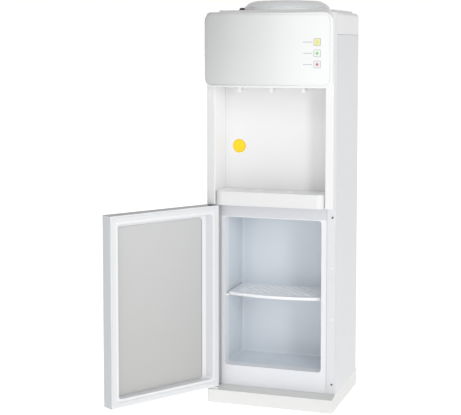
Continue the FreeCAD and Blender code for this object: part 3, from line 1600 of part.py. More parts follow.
# ---- Write the pieces ---------------------------------------------------------------------------
def pieces():
    side = make_side_panel()
    made = {
        "base_plinth": make_plinth(),
        "levelling_feet": make_feet(),
        "side_panel_right": side,
        "side_panel_left": mirrored(side),
        "rear_panel": make_rear_panel(),
        "front_frame": make_front_frame(),
        "flange_screws": make_flange_screws(),
        "hole_plugs": make_hole_plugs(),
        "cabinet_liner": make_liner(),
        "cabinet_insulation": make_cabinet_insulation(),
        "cabinet_shelf": make_shelf(),
        "door_shell": opened(make_door_shell()),
        "door_insulation": opened(make_door_insulation()),
        "door_liner": opened(make_door_liner()),
        "door_gasket": opened(make_door_gasket()),
        "door_panel": opened(make_door_panel()),
        "hinge_lower": make_hinge(deck, True),
        "hinge_upper": make_hinge(recess_floor, False),
        "tap_recess": make_tap_recess(),
        "recess_disc": make_disc(),
        "drip_tray": make_drip_tray(),
        "drip_grille": make_drip_grille(),
        "fascia_frame": make_fascia_frame(),
        "fascia_panel": make_fascia_panel(),
        "lamp_bezels": make_lamp_bezels(),
        "lamp_lens_upper": make_lamp_lens(lamp_levels[0]),
        "lamp_lens_middle": make_lamp_lens(lamp_levels[1]),
        "lamp_lens_lower": make_lamp_lens(lamp_levels[2]),
        "lamp_board": make_lamp_board(),
        "tap_pins": make_tap_pins(),
        "cold_pipe": make_cold_pipe(),
        "warm_pipe": make_warm_pipe(),
        "hot_pipe": make_hot_pipe(),
        "top_cover": make_top_cover(),
        "bottle_collar": make_collar(),
        "collar_latch": make_collar_latch(),
        "bottle_well": make_bottle_well(),
        "feed_spike": make_feed_spike(),
        "cold_tank": make_cold_tank(),
        "tank_jacket": make_tank_jacket(),
        "tank_shelf": make_tank_shelf(),
        "hot_tank": make_hot_tank(),
        "heater_band": make_heater_band(),
        "link_pipe": make_link_pipe(),
        "compressor": make_compressor(),
        "compressor_grommets": make_compressor_grommets(),
        "condenser_tube": make_condenser_tube(),
        "condenser_wires": make_condenser_wires(),
        "condenser_straps": make_condenser_straps(),
        "switch_housing": make_switch_housing(),
        "cooling_switch": make_rocker(rocker_places[0]),
        "heating_switch": make_rocker(rocker_places[1]),
        "cord_gland": make_cord_gland(),
        "drain_plug": make_drain_plug(),
    }
    for x, name in zip(tap_places, tap_names):
        made["tap_body_" + name] = make_tap_body(x)
        made["tap_lever_" + name] = make_tap_lever(x)
    return made


os.makedirs("parts", exist_ok=True)
for node, shape in pieces().items():
    shape.exportStep("parts/" + node + ".step")
    print(node, len(shape.Solids), shape.isValid(), round(shape.Volume))
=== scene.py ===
# %% [markdown]
# A bottled-water cooler, dressed on its packed construction.
# The frame brings every rigid piece at its real size and place. This script gives them their finishes,
# adds the small pieces that sit on them, and sets a camera, a floor and studio light.
# Lengths are in metres; x is to the right, y to the rear and z up, with the origin on the floor.

import json
import math

import bmesh
import bpy
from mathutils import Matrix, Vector


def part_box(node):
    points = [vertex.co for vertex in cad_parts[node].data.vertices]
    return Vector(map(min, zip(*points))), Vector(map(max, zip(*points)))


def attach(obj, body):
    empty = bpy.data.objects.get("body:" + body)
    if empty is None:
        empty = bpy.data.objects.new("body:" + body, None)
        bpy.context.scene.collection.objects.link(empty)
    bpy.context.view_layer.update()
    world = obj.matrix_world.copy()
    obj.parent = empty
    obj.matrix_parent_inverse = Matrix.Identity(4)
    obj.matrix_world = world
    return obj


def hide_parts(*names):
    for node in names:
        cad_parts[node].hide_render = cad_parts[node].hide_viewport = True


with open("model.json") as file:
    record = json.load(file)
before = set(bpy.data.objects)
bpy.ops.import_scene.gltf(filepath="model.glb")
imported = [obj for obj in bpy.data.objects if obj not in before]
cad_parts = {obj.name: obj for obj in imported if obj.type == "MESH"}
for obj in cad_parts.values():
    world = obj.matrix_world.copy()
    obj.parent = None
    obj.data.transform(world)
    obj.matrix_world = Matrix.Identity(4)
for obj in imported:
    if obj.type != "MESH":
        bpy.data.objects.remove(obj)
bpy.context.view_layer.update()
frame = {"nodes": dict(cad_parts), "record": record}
nodes = frame["nodes"]
MM = 0.001


def linked(name, data):
    """A new object in the scene."""
    made = bpy.data.objects.new(name, data)
    bpy.context.scene.collection.objects.link(made)
    return made


print("pieces in the frame:", len(nodes))

# %% [markdown]
# The camera stands to the right of the cooler, at about the height of the fascia, and looks down a little.
# A long lens a few metres away keeps the uprights almost parallel, as a product photographer would. The
# uprights draw together downwards less than such a tilt would make them, so part of the framing is done by
# shifting the lens: that moves the picture without tilting the camera any further.

# %% Camera
FRAME_WIDTH_PX = 461
FOCAL_PX = 1174.6           # focal length, in pixels of a picture that is FRAME_WIDTH_PX wide
VIEW_SHIFT_PX = -70.0
SENSOR_MM = 36.0
CAMERA_PLACE = (0.78489, -2.76562, 0.86272)
TILT_DEG = 4.491            # below the horizon
TURN_DEG = 18.496           # to the left of straight ahead

camera_data = bpy.data.cameras.new("product_camera")
camera_data.sensor_width = SENSOR_MM
camera_data.lens = FOCAL_PX * SENSOR_MM / FRAME_WIDTH_PX
camera_data.shift_y = VIEW_SHIFT_PX / FRAME_WIDTH_PX
camera = linked("product_camera", camera_data)
camera.location = CAMERA_PLACE
camera.rotation_euler = (math.radians(90 - TILT_DEG), 0, math.radians(TURN_DEG))
bpy.context.scene.camera = camera
print("lens", round(camera_data.lens, 1), "mm")

# %% [markdown]
# Every finish and every repeated piece below is a small recipe of nodes. Written out node by node, such
# recipes hide what they do. A short class wraps a node's output, so that an expression such as
# `1 - mask * 0.2` makes its own Math nodes, and one method makes any other node.

# %% A workbench for nodes


class Signal:
    """A node's output that takes part in Python arithmetic."""

    def __init__(self, bench, socket):
        self.bench = bench
        self.socket = socket

    def math(self, operation, first, second):
        return self.bench.node("ShaderNodeMath", {"operation": operation}, {0: first, 1: second})

    def __add__(self, other):
        return self.math("ADD", self, other)

    def __sub__(self, other):
        return self.math("SUBTRACT", self, other)

    def __rsub__(self, other):
        return self.math("SUBTRACT", other, self)

    def __mul__(self, other):
        return self.math("MULTIPLY", self, other)

    def __truediv__(self, other):
        return self.math("DIVIDE", self, other)

    __radd__ = __add__
    __rmul__ = __mul__

    def above(self, limit):
        return self.math("GREATER_THAN", self, limit)

    def below(self, limit):
        return self.math("LESS_THAN", self, limit)


class Bench:
    """A node tree being filled."""

    def __init__(self, tree):
        self.tree = tree

    def node(self, kind, settings=None, sockets=None, output=0):
        """One node: settings first, then the values or links of its sockets."""
        made = self.tree.nodes.new(kind)
        for name, value in (settings or {}).items():
            if name == "stops":
                self.set_stops(made.color_ramp, value)
            else:
                setattr(made, name, value)
        for name, value in (sockets or {}).items():
            self.feed(made.inputs[name], value)
        return Signal(self, made.outputs[output])

    def set_stops(self, ramp, stops):
        while len(ramp.elements) < len(stops):
            ramp.elements.new(1.0)
        for element, (position, colour) in zip(ramp.elements, stops):
            element.position = position
            element.color = (*colour, 1.0)

    def feed(self, socket, value):
        if isinstance(value, Signal):
            self.tree.links.new(value.socket, socket)
        elif socket.type == "RGBA" and len(value) == 3:
            socket.default_value = (*value, 1.0)
        else:
            socket.default_value = value

    def soft_step(self, signal, low, high):
        """Rises smoothly from 0 at low to 1 at high; high may be the smaller number."""
        sockets = {"Value": signal, "From Min": low, "From Max": high}
        return self.node("ShaderNodeMapRange", {"interpolation_type": "SMOOTHSTEP"}, sockets)


# %% [markdown]
# The cooler stands in a white studio sweep. The paper behind it is lit until it is pure white, and so is the
# table. The rest of the room is dimmer, most of all overhead, so that level surfaces and the outer sides read
# a little darker than the front. Each part of the surround is a soft mask on the direction that is looked in,
# times its brightness. Soft boxes then model the form: a compact one at the right front, whose shadows have
# readable edges, a square one in front that the silver fascia mirrors, and a high one that brightens the tray
# and every other level surface.

# %% Surround
PAPER = 1.03                # the surround behind the object
ROOM_FRONT = 0.73           # in front
FRONT_LEFT = 0.18           # in front and to the left, where the fascia's silver mirrors it
ROOM_RIGHT = 0.37
ROOM_LEFT = 0.24
CEILING = 0.39

# Where each mask begins to rise and where it is full, along its axis of the direction.
WALL_EDGE = (0.35, 0.75)
SIDES_EDGE = (-0.1, 0.1)
CEILING_EDGE = (0.1, 0.9)
FRONT_LEFT_EDGE = (-0.52, -0.26)

bpy.context.scene.view_settings.view_transform = "Standard"
world = bpy.data.worlds.new("studio")
bpy.context.scene.world = world
world.use_nodes = True
surround = Bench(world.node_tree)


def towards(axis):
    """How far the direction points along one axis, from -1 to 1."""
    direction = surround.node("ShaderNodeTexCoord", output="Generated")
    return surround.node("ShaderNodeSeparateXYZ", sockets={0: direction}, output=axis)


behind = surround.soft_step(towards("Y"), *WALL_EDGE)
before = surround.soft_step(towards("Y") * -1.0, *WALL_EDGE)
right_half = surround.soft_step(towards("X"), *SIDES_EDGE)
overhead = surround.soft_step(towards("Z"), *CEILING_EDGE)
front_middle = surround.soft_step(towards("X"), *FRONT_LEFT_EDGE)
front = front_middle * ROOM_FRONT + (1.0 - front_middle) * FRONT_LEFT
beside = (1.0 - behind - before) * (right_half * ROOM_RIGHT + (1.0 - right_half) * ROOM_LEFT)
level = behind * PAPER + before * front + beside
glow = level * (1.0 - overhead) + overhead * CEILING
white_glow = surround.node("ShaderNodeCombineColor", sockets={0: glow, 1: glow, 2: glow})
surround.feed(world.node_tree.nodes["Background"].inputs["Color"], white_glow)

# %% Soft boxes and table


def soft_box(name, place, aim, width, height, power):
    """A rectangular area light that faces a point."""
    data = bpy.data.lights.new(name, "AREA")
    data.shape = "RECTANGLE"
    data.size = width
    data.size_y = height
    data.energy = power
    light = linked(name, data)
    light.location = place
    light.rotation_euler = (Vector(aim) - Vector(place)).to_track_quat("-Z", "Y").to_euler()


soft_box("key_light", (1.93, -2.30, 1.3), aim=(0.0, 0.0, 0.6), width=0.5, height=1.2, power=18.5)
soft_box("front_light", (-0.18, -3.4, 0.95), aim=(0.0, 0.0, 0.7), width=1.4, height=1.1, power=3.3)
soft_box("high_light", (0.2, -2.4, 2.6), aim=(0.0, 0.0, 0.5), width=2.0, height=1.0, power=13.0)

FLOOR_REACH = 80.0
FLOOR_GLOW = 0.73           # the table is lit from below, so that its edge melts into the surround
floor_corners = [(x * FLOOR_REACH, y * FLOOR_REACH, 0.0) for x, y in ((-1, -1), (1, -1), (1, 1), (-1, 1))]
floor_mesh = bpy.data.meshes.new("floor")
floor_mesh.from_pydata(floor_corners, [], [(0, 1, 2, 3)])
floor = linked("floor", floor_mesh)

# %% [markdown]
# A finish is a Principled surface with signals on its sockets. What stays the same all over is a plain
# number on the surface itself; what varies comes from noise in the object's own space, in metres, so its
# grain keeps its real size on every piece. The Bevel node rounds the look of sharp edges.
#
# Some finishes carry marks: masks fixed to the object, each with a tone of its own. Most of these marks are
# painted light and shade, for tones that these lights alone don't give. They match tones in the photograph
# that these lights alone don't give. Whether the real surfaces differ there isn't known.

# %% What the finishes share
RIGHT, FRONT, UP = (1.0, 0.0, 0.0), (0.0, -1.0, 0.0), (0.0, 0.0, 1.0)
SQUARELY = 0.7              # the cosine above which a surface counts as facing a direction
finishes = {}


class Finish(Bench):
    """A material being mixed: its node tree and the surface that everything feeds. It joins the finishes."""

    def __init__(self, name):
        self.material = bpy.data.materials.new(name)
        self.material.use_nodes = True
        super().__init__(self.material.node_tree)
        self.surface = self.tree.nodes["Principled BSDF"]
        finishes[name] = self.material

    def set(self, **sockets):
        """Feeds the surface; an underscore stands for a space."""
        for name, value in sockets.items():
            self.feed(self.surface.inputs[name.replace("_", " ")], value)

    def place(self, middle=(0.0, 0.0, 0.0), stretch=(1.0, 1.0, 1.0)):
        """Where a point lies in the object's own space, from a middle, in stretched measure."""
        here = self.node("ShaderNodeTexCoord", output="Object")
        moved = self.node("ShaderNodeVectorMath", {"operation": "SUBTRACT"}, {0: here, 1: middle})
        return self.node("ShaderNodeVectorMath", {"operation": "MULTIPLY"}, {0: moved, 1: stretch})

    def axis(self, name, middle=(0.0, 0.0, 0.0)):
        """One coordinate of that place: X, Y or Z."""
        return self.node("ShaderNodeSeparateXYZ", sockets={0: self.place(middle)}, output=name)

    def dot(self, first, second):
        """The dot product of two vectors."""
        return self.node("ShaderNodeVectorMath", {"operation": "DOT_PRODUCT"}, {0: first, 1: second}, "Value")

    def facing(self, direction):
        """How squarely the surface faces a direction of the object's own space, from -1 to 1."""
        return self.dot(self.node("ShaderNodeTexCoord", output="Normal"), direction)

    def faces(self, direction):
        """A mask that is 1 where the surface faces a direction squarely."""
        return self.facing(direction).above(SQUARELY)

    def within(self, axis, low, high):
        """A mask that is 1 between two places on one axis."""
        place = self.axis(axis)
        return place.above(low) * place.below(high)

    def distance(self, middle, stretch):
        """How far a point lies from a middle; a stretch of 0 leaves an axis out."""
        return self.node("ShaderNodeVectorMath", {"operation": "LENGTH"}, {0: self.place(middle, stretch)}, "Value")

    def noise(self, scale, detail=2.0, stretch=(1.0, 1.0, 1.0)):
        """Soft noise from 0 to 1; scale in lumps per metre."""
        sockets = {"Vector": self.place(stretch=stretch), "Scale": scale, "Detail": detail}
        return self.node("ShaderNodeTexNoise", sockets=sockets)

    def cells(self, scale):
        """Distance to the middle of the nearest cell; scale in cells per metre."""
        return self.node("ShaderNodeTexVoronoi", sockets={"Vector": self.place(), "Scale": scale})

    def blend(self, mask, first, second):
        """A colour between two, by a mask from 0 to 1."""
        sockets = {0: mask, 6: first, 7: second}
        return self.node("ShaderNodeMix", {"data_type": "RGBA"}, sockets, output=2)

    def marked(self, skin, marks):
        """The skin with its marks: each is a function that makes a mask on the finish, and a colour."""
        for mask, colour in marks:
            skin = self.blend(mask(self), skin, colour)
        return skin

    def relief(self, height, distance, edges=0.0):
        """A bump from a height signal, on top of edges rounded by a radius."""
        sockets = {"Height": height, "Distance": distance}
        if edges:
            sockets["Normal"] = self.node("ShaderNodeBevel", {"samples": 6}, {"Radius": edges})
        return self.node("ShaderNodeBump", sockets=sockets)


def shade(colour, share):
    """The same colour, darker or lighter by a share."""
    return tuple(channel * share for channel in colour)


# %% [markdown]
# Most of the shell is white: injection-moulded styrene in front and on top, painted sheet at the sides.
# The two differ in their skin. Moulded parts carry a very fine grain and slightly uneven gloss; sprayed
# paint flows into wider, softer dimples, the orange peel. Both get edges rounded by a fraction of a millimetre.

# %% Moulded plastic


def moulded(name, colour, roughness=0.36, grain=0.03 * MM, edges=0.6 * MM, coat=0.0, marks=()):
    """Injection-moulded plastic: fine grain, uneven gloss, slightly uneven colour."""
    finish = Finish(name)
    cloud = finish.noise(9.0, 3.0)
    fine = finish.noise(1400.0, 1.0)
    skin = finish.blend(cloud, colour, shade(colour, 0.975))
    finish.set(
        Base_Color=finish.marked(skin, marks),
        Roughness=roughness - 0.05 + cloud * 0.06 + fine * 0.05,
        Normal=finish.relief(fine, grain, edges),
        Coat_Weight=coat,
        Coat_Roughness=0.12,
        IOR=1.52,
    )


SEAM_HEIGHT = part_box("top_cover")[0].z      # where the cover meets the side panels
SEAM_GREY = (0.36, 0.37, 0.39)
LIT_WHITE = (0.93, 0.93, 0.935)
SHADED_WHITE = (0.70, 0.70, 0.705)
SHADED_FRAME = (0.62, 0.63, 0.66)
STRIP_EDGE = (-126.5 * MM, -129.5 * MM)     # where the strip beside the hinges begins and where it is full
UPRIGHT_WIDTH = 24.0 * MM
LINER_RIM_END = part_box("cabinet_liner")[0].y + 27.0 * MM
LINER_RIM_BLUR = 2.0 * MM


def cover_seam(finish):
    """The shadow line round the foot of the cover, on its sides."""
    return finish.within("Z", SEAM_HEIGHT - 0.8 * MM, SEAM_HEIGHT + 0.7 * MM)


moulded("white_moulding", (0.81, 0.81, 0.815))
# The cover's white is a darker copy of the moulding's white: painted shade.
moulded("cover_moulding", (0.73, 0.73, 0.735), marks=[(cover_seam, SEAM_GREY)])


def rail_painted_shade(finish):
    """The rail over the cabinet's opening, painted darker than the uprights: a painted shadow of the tray above."""
    return finish.axis("Z").above(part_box("cabinet_liner")[1].z)


def shaded_strip(finish):
    """The strip of the frame beside the hinges, which is dark in the photograph."""
    return finish.soft_step(finish.axis("X"), *STRIP_EDGE)


# The frame carries painted shade: on the rail under the tray and on the strip beside the hinges.
moulded(
    "frame_moulding", (0.77, 0.78, 0.81), edges=1.0 * MM,
    marks=[(rail_painted_shade, SHADED_FRAME), (shaded_strip, (0.52, 0.53, 0.55))],
)


def level_painted_light(finish):
    """Level faces, painted lighter than the lights alone leave them: painted light."""
    return finish.faces(UP)


# The tray's white is a darker copy of the moulding's white, as painted shade, and its level faces carry painted
# light.
moulded("tray_moulding", (0.76, 0.76, 0.765), marks=[(level_painted_light, LIT_WHITE)])


def left_return_painted_light(finish):
    """The tap recess's left side wall, painted bright: painted light from the right."""
    return finish.faces(RIGHT) * finish.axis("X").below(0.0)


def left_upright_painted_shade(finish):
    """The front face of the recess's left upright, painted darker than the right one: painted shade."""
    inner_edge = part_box("tap_recess")[0].x + UPRIGHT_WIDTH
    return finish.axis("X").below(inner_edge) * finish.faces(FRONT)


def right_flank_painted_shade(finish):
    """The moulding's outer flank at the right, painted darker than its front: painted shade."""
    return finish.faces(RIGHT) * finish.axis("X").above(0.0)


# The recess's left side wall carries painted light; its left upright and its right flank carry painted shade.
moulded(
    "recess_moulding", (0.81, 0.81, 0.815),
    marks=[(left_return_painted_light, LIT_WHITE), (left_upright_painted_shade, SHADED_WHITE), (right_flank_painted_shade, SHADED_WHITE)],
)
moulded("plinth_moulding", (0.74, 0.74, 0.73), roughness=0.45)


def liner_rim(finish):
    """The liner's front rim: in the photograph the blue inside begins behind it."""
    return finish.soft_step(finish.axis("Y"), LINER_RIM_END + LINER_RIM_BLUR, LINER_RIM_END - LINER_RIM_BLUR)


moulded(
    "cabinet_liner", (0.715, 0.76, 0.81), roughness=0.28, coat=0.3, edges=1.2 * MM,
    marks=[(liner_rim, (0.84, 0.85, 0.86))],
)
moulded("shelf_white", (0.86, 0.87, 0.89), roughness=0.28, coat=0.3, edges=1.0 * MM)
DOOR_OPEN = math.radians(123)               # how far the door stands open in the frame
DOOR_INSIDE = (math.sin(DOOR_OPEN), math.cos(DOOR_OPEN), 0.0)
DOOR_ALONG = (math.cos(DOOR_OPEN), -math.sin(DOOR_OPEN), 0.0)
DOOR_WHITE = (0.80, 0.81, 0.825)
RECESS_WALL = 0.93          # the door's recess has sloped walls, which face the inside by less than this
NOT_LEVEL = 0.3             # and they face upwards by less than this


def door_walls_painted_shade(finish):
    """The walls of the door's shallow recess, painted darker than its face: painted shade."""
    return finish.facing(DOOR_INSIDE).below(RECESS_WALL) * finish.facing(UP).below(NOT_LEVEL)


# The walls of the door's recess carry painted shade.
moulded(
    "door_liner_white", DOOR_WHITE, roughness=0.3, coat=0.2, edges=1.5 * MM, marks=[(door_walls_painted_shade, SHADED_FRAME)],
)
moulded("tap_white", (0.86, 0.86, 0.87), roughness=0.22, coat=0.4)
moulded("collar_grey", (0.79, 0.80, 0.81), roughness=0.40, edges=1.0 * MM)
moulded("skirt_white", (0.93, 0.93, 0.93), roughness=0.30)
moulded("latch_dark", (0.10, 0.06, 0.06), roughness=0.5)
moulded("switch_black", (0.022, 0.022, 0.024), roughness=0.42, grain=0.06 * MM)
moulded("rocker_green", (0.03, 0.30, 0.12), roughness=0.25, coat=0.3)
moulded("rocker_red", (0.52, 0.03, 0.03), roughness=0.25, coat=0.3)
print("moulded finishes:", len(finishes))

# %% Painted sheet


def painted_sheet(name, colour, roughness=0.30, peel=0.05 * MM, edges=0.8 * MM, coat=0.25, marks=()):
    """Sprayed and baked paint over steel sheet, with a soft orange peel."""
    finish = Finish(name)
    cloud = finish.noise(5.0, 2.0)
    peel_height = finish.noise(420.0, 1.5)
    skin = finish.blend(cloud, colour, shade(colour, 0.98))
    finish.set(
        Base_Color=finish.marked(skin, marks),
        Roughness=roughness - 0.03 + cloud * 0.05,
        Normal=finish.relief(peel_height, peel, edges),
        Coat_Weight=coat,
        Coat_Roughness=0.18,
        IOR=1.5,
    )


def door_inside(finish):
    """The door shell's rim, folded over to the inside."""
    return finish.faces(DOOR_INSIDE)


def upper_edge_painted_shade(finish):
    """The door shell's top edge, painted dark: painted shade on a level face."""
    return finish.faces(UP)


def front_flange_painted_light(finish):
    """The side panels' front flanges, painted brighter than their sides: painted light."""
    return finish.faces(FRONT)


# The sheet's white is darker than the mouldings' as painted shade on the sides, and its front flanges carry painted
# light.
painted_sheet(
    "white_steel", (0.575, 0.585, 0.60), edges=2.2 * MM,
    marks=[(cover_seam, SEAM_GREY), (front_flange_painted_light, (0.68, 0.69, 0.705))],
)
# The door shell's top edge is painted dark as shade.
painted_sheet(
    "door_white", (0.57, 0.58, 0.60), edges=1.0 * MM,
    marks=[(door_inside, DOOR_WHITE), (upper_edge_painted_shade, (0.10, 0.10, 0.105))],
)
painted_sheet("rear_steel", (0.66, 0.67, 0.68), roughness=0.42)
painted_sheet("compressor_black", (0.018, 0.018, 0.020), roughness=0.38, peel=0.10 * MM)
painted_sheet("condenser_black", (0.020, 0.020, 0.022), roughness=0.45, peel=0.05 * MM, edges=0.3 * MM)

# %% [markdown]
# The fascia's face is a silver film under clear lacquer. Its flakes lie flat and mirror the surround in a
# blurred way, so it runs from grey to nearly white across its gentle bow; its left end is darkened further by
# painted shade. The door's inner panel is a satin grey sheet. Its fade towards the foot is painted shade, and
# the dark line along its hinge side is a painted shadow.

# %% Silver face and the door's grey panel
SILVER = (0.76, 0.77, 0.77)
SILVER_METALLIC = 0.82
LEFT_END_SHADE = (-60.0 * MM, -170.0 * MM)        # where the painted shade on the fascia begins and where it is darkest


def silver_film(finish, flakes):
    """Silver film, darkened by painted shade towards its left end."""
    left_end_shade = finish.soft_step(finish.axis("X"), *LEFT_END_SHADE)
    film = finish.blend(flakes, SILVER, shade(SILVER, 0.94))
    return finish.blend(left_end_shade, film, shade(SILVER, 0.84))


def silver_face():
    """Metallic lacquer: flakes that tilt a little each way, under a clear coat."""
    finish = Finish("silver_face")
    flakes = finish.noise(2600.0, 1.0)
    finish.set(
        Base_Color=silver_film(finish, flakes),
        Metallic=SILVER_METALLIC,
        Roughness=0.26 + flakes * 0.10,
        Normal=finish.relief(flakes, 0.01 * MM, 0.5 * MM),
        Coat_Weight=0.5,
        Coat_Roughness=0.08,
    )


def fascia_surround():
    """The fascia's moulding: its face is silvered to the edge, but for a white border at the right."""
    finish = Finish("fascia_surround")
    low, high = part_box("fascia_frame")
    white_border, edge = 6.0 * MM, 1.2 * MM
    face = finish.facing(FRONT).above(0.8) * finish.axis("X").below(high.x - white_border)
    face = face * finish.within("Z", low.z + edge, high.z - edge)
    flakes = finish.noise(2600.0, 1.0)
    finish.set(
        Base_Color=finish.blend(face, (0.80, 0.80, 0.805), silver_film(finish, flakes)),
        Metallic=face * SILVER_METALLIC,
        Roughness=0.36 - face * 0.08 + flakes * 0.06,
        Normal=finish.relief(flakes, 0.01 * MM, 0.6 * MM),
        Coat_Weight=face * 0.5,
        Coat_Roughness=0.08,
    )


def door_grey():
    """Satin sheet with a fine, even texture."""
    finish = Finish("door_grey")
    grain = finish.noise(1900.0, 1.0)
    cloud = finish.noise(4.0, 2.0)
    low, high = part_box("door_panel")
    # The panel darkens towards its foot: painted shade.
    depth = (high.z - finish.axis("Z")) / (high.z - low.z)
    top, foot = (0.58, 0.58, 0.58), (0.485, 0.485, 0.475)
    plain = finish.blend(depth, top, foot)
    clouded = finish.blend(depth, shade(top, 0.97), shade(foot, 0.97))
    hinge_edge = min(Vector(DOOR_ALONG).dot(corner.co) for corner in nodes["door_panel"].data.vertices)
    # A dark line along the hinge side: a painted shadow.
    hinge_shadow_line = finish.dot(finish.place(), DOOR_ALONG).below(hinge_edge + 1.6 * MM)
    finish.set(
        Base_Color=finish.blend(hinge_shadow_line, finish.blend(cloud, plain, clouded), (0.26, 0.26, 0.26)),
        Metallic=0.25,
        Roughness=0.32 + grain * 0.12,
        Normal=finish.relief(grain, 0.02 * MM, 0.4 * MM),
        Coat_Weight=0.15,
        Coat_Roughness=0.25,
    )


silver_face()
fascia_surround()
door_grey()

# %% [markdown]
# Foam, rubber, seals and milky hoses are soft to the eye: rough and mottled, and the rubber has a lift in colour
# where it turns away. Foam shows its cells as shallow pits, which a Voronoi texture gives straight away.

# %% Foam, rubber, seal and hose


def soft_finish(name, colour, roughness, lump, height, sheen=0.0, contrast=0.88):
    """Rough, soft material with a mottled surface."""
    finish = Finish(name)
    mottle = finish.noise(lump, 3.0)
    finish.set(
        Base_Color=finish.blend(mottle, colour, shade(colour, contrast)),
        Roughness=roughness - 0.05 + mottle * 0.1,
        Normal=finish.relief(mottle, height, 0.5 * MM),
        Sheen_Weight=sheen,
    )


def foam():
    """Cut polyurethane foam: pale, dry and pitted with cells."""
    finish = Finish("foam")
    pits = finish.cells(900.0)
    cloud = finish.noise(30.0, 3.0)
    finish.set(
        Base_Color=finish.blend(cloud, (0.86, 0.83, 0.70), (0.80, 0.76, 0.60)),
        Roughness=0.86 + cloud * 0.08,
        Normal=finish.relief(pits, 0.6 * MM),
    )


foam()
soft_finish("foot_rubber", (0.03, 0.03, 0.032), 0.75, 900.0, 0.05 * MM, sheen=0.1)
soft_finish("seal", (0.74, 0.75, 0.76), 0.5, 900.0, 0.01 * MM, contrast=0.97)
soft_finish("hose", (0.76, 0.76, 0.72), 0.35, 200.0, 0.02 * MM)

# %% [markdown]
# Bare metal shows how it was worked. The tanks are spun stainless steel with fine lines round their axis,
# so their noise is stretched round the tank by squeezing its height. Pins and hinge plates are zinc-plated,
# which mottles in soft patches.

# %% Bare metals


def worked_metal(name, colour, roughness, stretch, scale, height):
    """Bare metal with lines or mottles left by its making."""
    finish = Finish(name)
    lines = finish.noise(scale, 2.0, stretch)
    finish.set(
        Base_Color=finish.blend(lines, colour, shade(colour, 0.84)),
        Metallic=1.0,
        Roughness=roughness - 0.06 + lines * 0.12,
        Normal=finish.relief(lines, height, 0.4 * MM),
    )


worked_metal("stainless", (0.66, 0.66, 0.65), 0.28, (1.0, 1.0, 30.0), 60.0, 0.02 * MM)
worked_metal("pin_steel", (0.66, 0.66, 0.66), 0.18, (1.0, 1.0, 1.0), 900.0, 0.01 * MM)
worked_metal("screw_steel", (0.16, 0.16, 0.15), 0.30, (1.0, 1.0, 1.0), 300.0, 0.02 * MM)
worked_metal("hinge_steel", (0.60, 0.60, 0.60), 0.36, (1.0, 1.0, 1.0), 140.0, 0.02 * MM)

# %% [markdown]
# The three lamps are square windows of milky plastic. In the photograph each is coloured most deeply in its
# middle and fades to a pale rim, as if a diode sat behind it. A ramp on the distance from the lamp's middle
# draws that, and a faint glow goes with it.

# %% Lamps and their surrounds
LAMP_REACH = 8.0 * MM       # from a lamp's middle to the end of its ramp


def middle_of(node):
    """Middle of a node's box."""
    low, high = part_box(node)
    return tuple((low + high) / 2)


def lamp(name, node, core, tint, rim):
    """Milky window, coloured most deeply in its middle."""
    finish = Finish(name)
    reach = finish.distance(middle_of(node), (1.0, 0.0, 1.0)) / LAMP_REACH
    stops = [(0.0, core), (0.20, core), (0.42, tint), (0.80, rim)]
    colour = finish.node("ShaderNodeValToRGB", {"stops": stops}, {0: reach})
    fine = finish.noise(900.0, 1.0)
    finish.set(
        Base_Color=colour,
        Roughness=0.14 + fine * 0.06,
        Normal=finish.relief(fine, 0.01 * MM, 0.4 * MM),
        Coat_Weight=0.4,
        Coat_Roughness=0.06,
        Emission_Color=colour,
        Emission_Strength=0.03,
    )


lamp("lamp_yellow", "lamp_lens_upper", (0.58, 0.62, 0.21), (0.62, 0.65, 0.26), (0.72, 0.72, 0.36))
lamp("lamp_green", "lamp_lens_middle", (0.20, 0.40, 0.20), (0.46, 0.70, 0.46), (0.75, 0.79, 0.75))
lamp("lamp_red", "lamp_lens_lower", (0.30, 0.12, 0.14), (0.66, 0.53, 0.53), (0.76, 0.73, 0.73))
moulded("lamp_frame", (0.40, 0.37, 0.43), roughness=0.3, edges=0.2 * MM)

# %% [markdown]
# A plain yellow disc is stuck on the recess's back wall. It is printed film: an even yellow with a slightly
# deeper ring just inside its rim. The circuit board behind the lamps has green resist over copper lanes.

# %% Yellow disc and circuit board


def yellow_disc():
    """Printed film with a deeper ring near its rim."""
    finish = Finish("yellow_disc")
    low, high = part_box("recess_disc")
    radius = (high.x - low.x) / 2
    reach = finish.distance(middle_of("recess_disc"), (1.0, 0.0, 1.0)) / radius
    ring = reach.above(0.84) * reach.below(0.95)
    ink = finish.noise(700.0, 2.0)
    printed = finish.blend(ring, (0.95, 0.66, 0.0), (0.80, 0.47, 0.0))
    finish.set(
        Base_Color=printed,
        Roughness=0.34 + ink * 0.12,
        Normal=finish.relief(ink, 0.01 * MM, 0.2 * MM),
    )


def circuit_board():
    """Green resist with slightly raised copper lanes."""
    finish = Finish("circuit_board")
    lanes = finish.node(
        "ShaderNodeTexBrick",
        {"offset": 0.3},
        {"Vector": finish.place(), "Scale": 120.0, "Mortar Size": 0.06},
        "Fac",
    )
    finish.set(
        Base_Color=finish.blend(lanes, (0.02, 0.16, 0.07), (0.10, 0.30, 0.12)),
        Roughness=0.32 + lanes * 0.1,
        Normal=finish.relief(lanes, 0.05 * MM),
    )


yellow_disc()
circuit_board()

# %% [markdown]
# Each node of the frame names its finish in the record, so one loop dresses them all. A few nodes share a
# finish there but look different in the photograph, and a short table gives them a closer one.

# %% Dress every node of the frame
closer_finish = {
    "top_cover": "cover_moulding",
    "tap_recess": "recess_moulding",
    "drip_tray": "tray_moulding",
    "drip_grille": "tray_moulding",
    "hole_plugs": "frame_moulding",
    "front_frame": "frame_moulding",
    "fascia_frame": "fascia_surround",
    "flange_screws": "screw_steel",
}
for part in frame["record"]["subparts"]:
    target = nodes[part["node"]]
    target.data.materials.clear()
    target.data.materials.append(finishes[closer_finish.get(part["node"], part["material_slot"])])


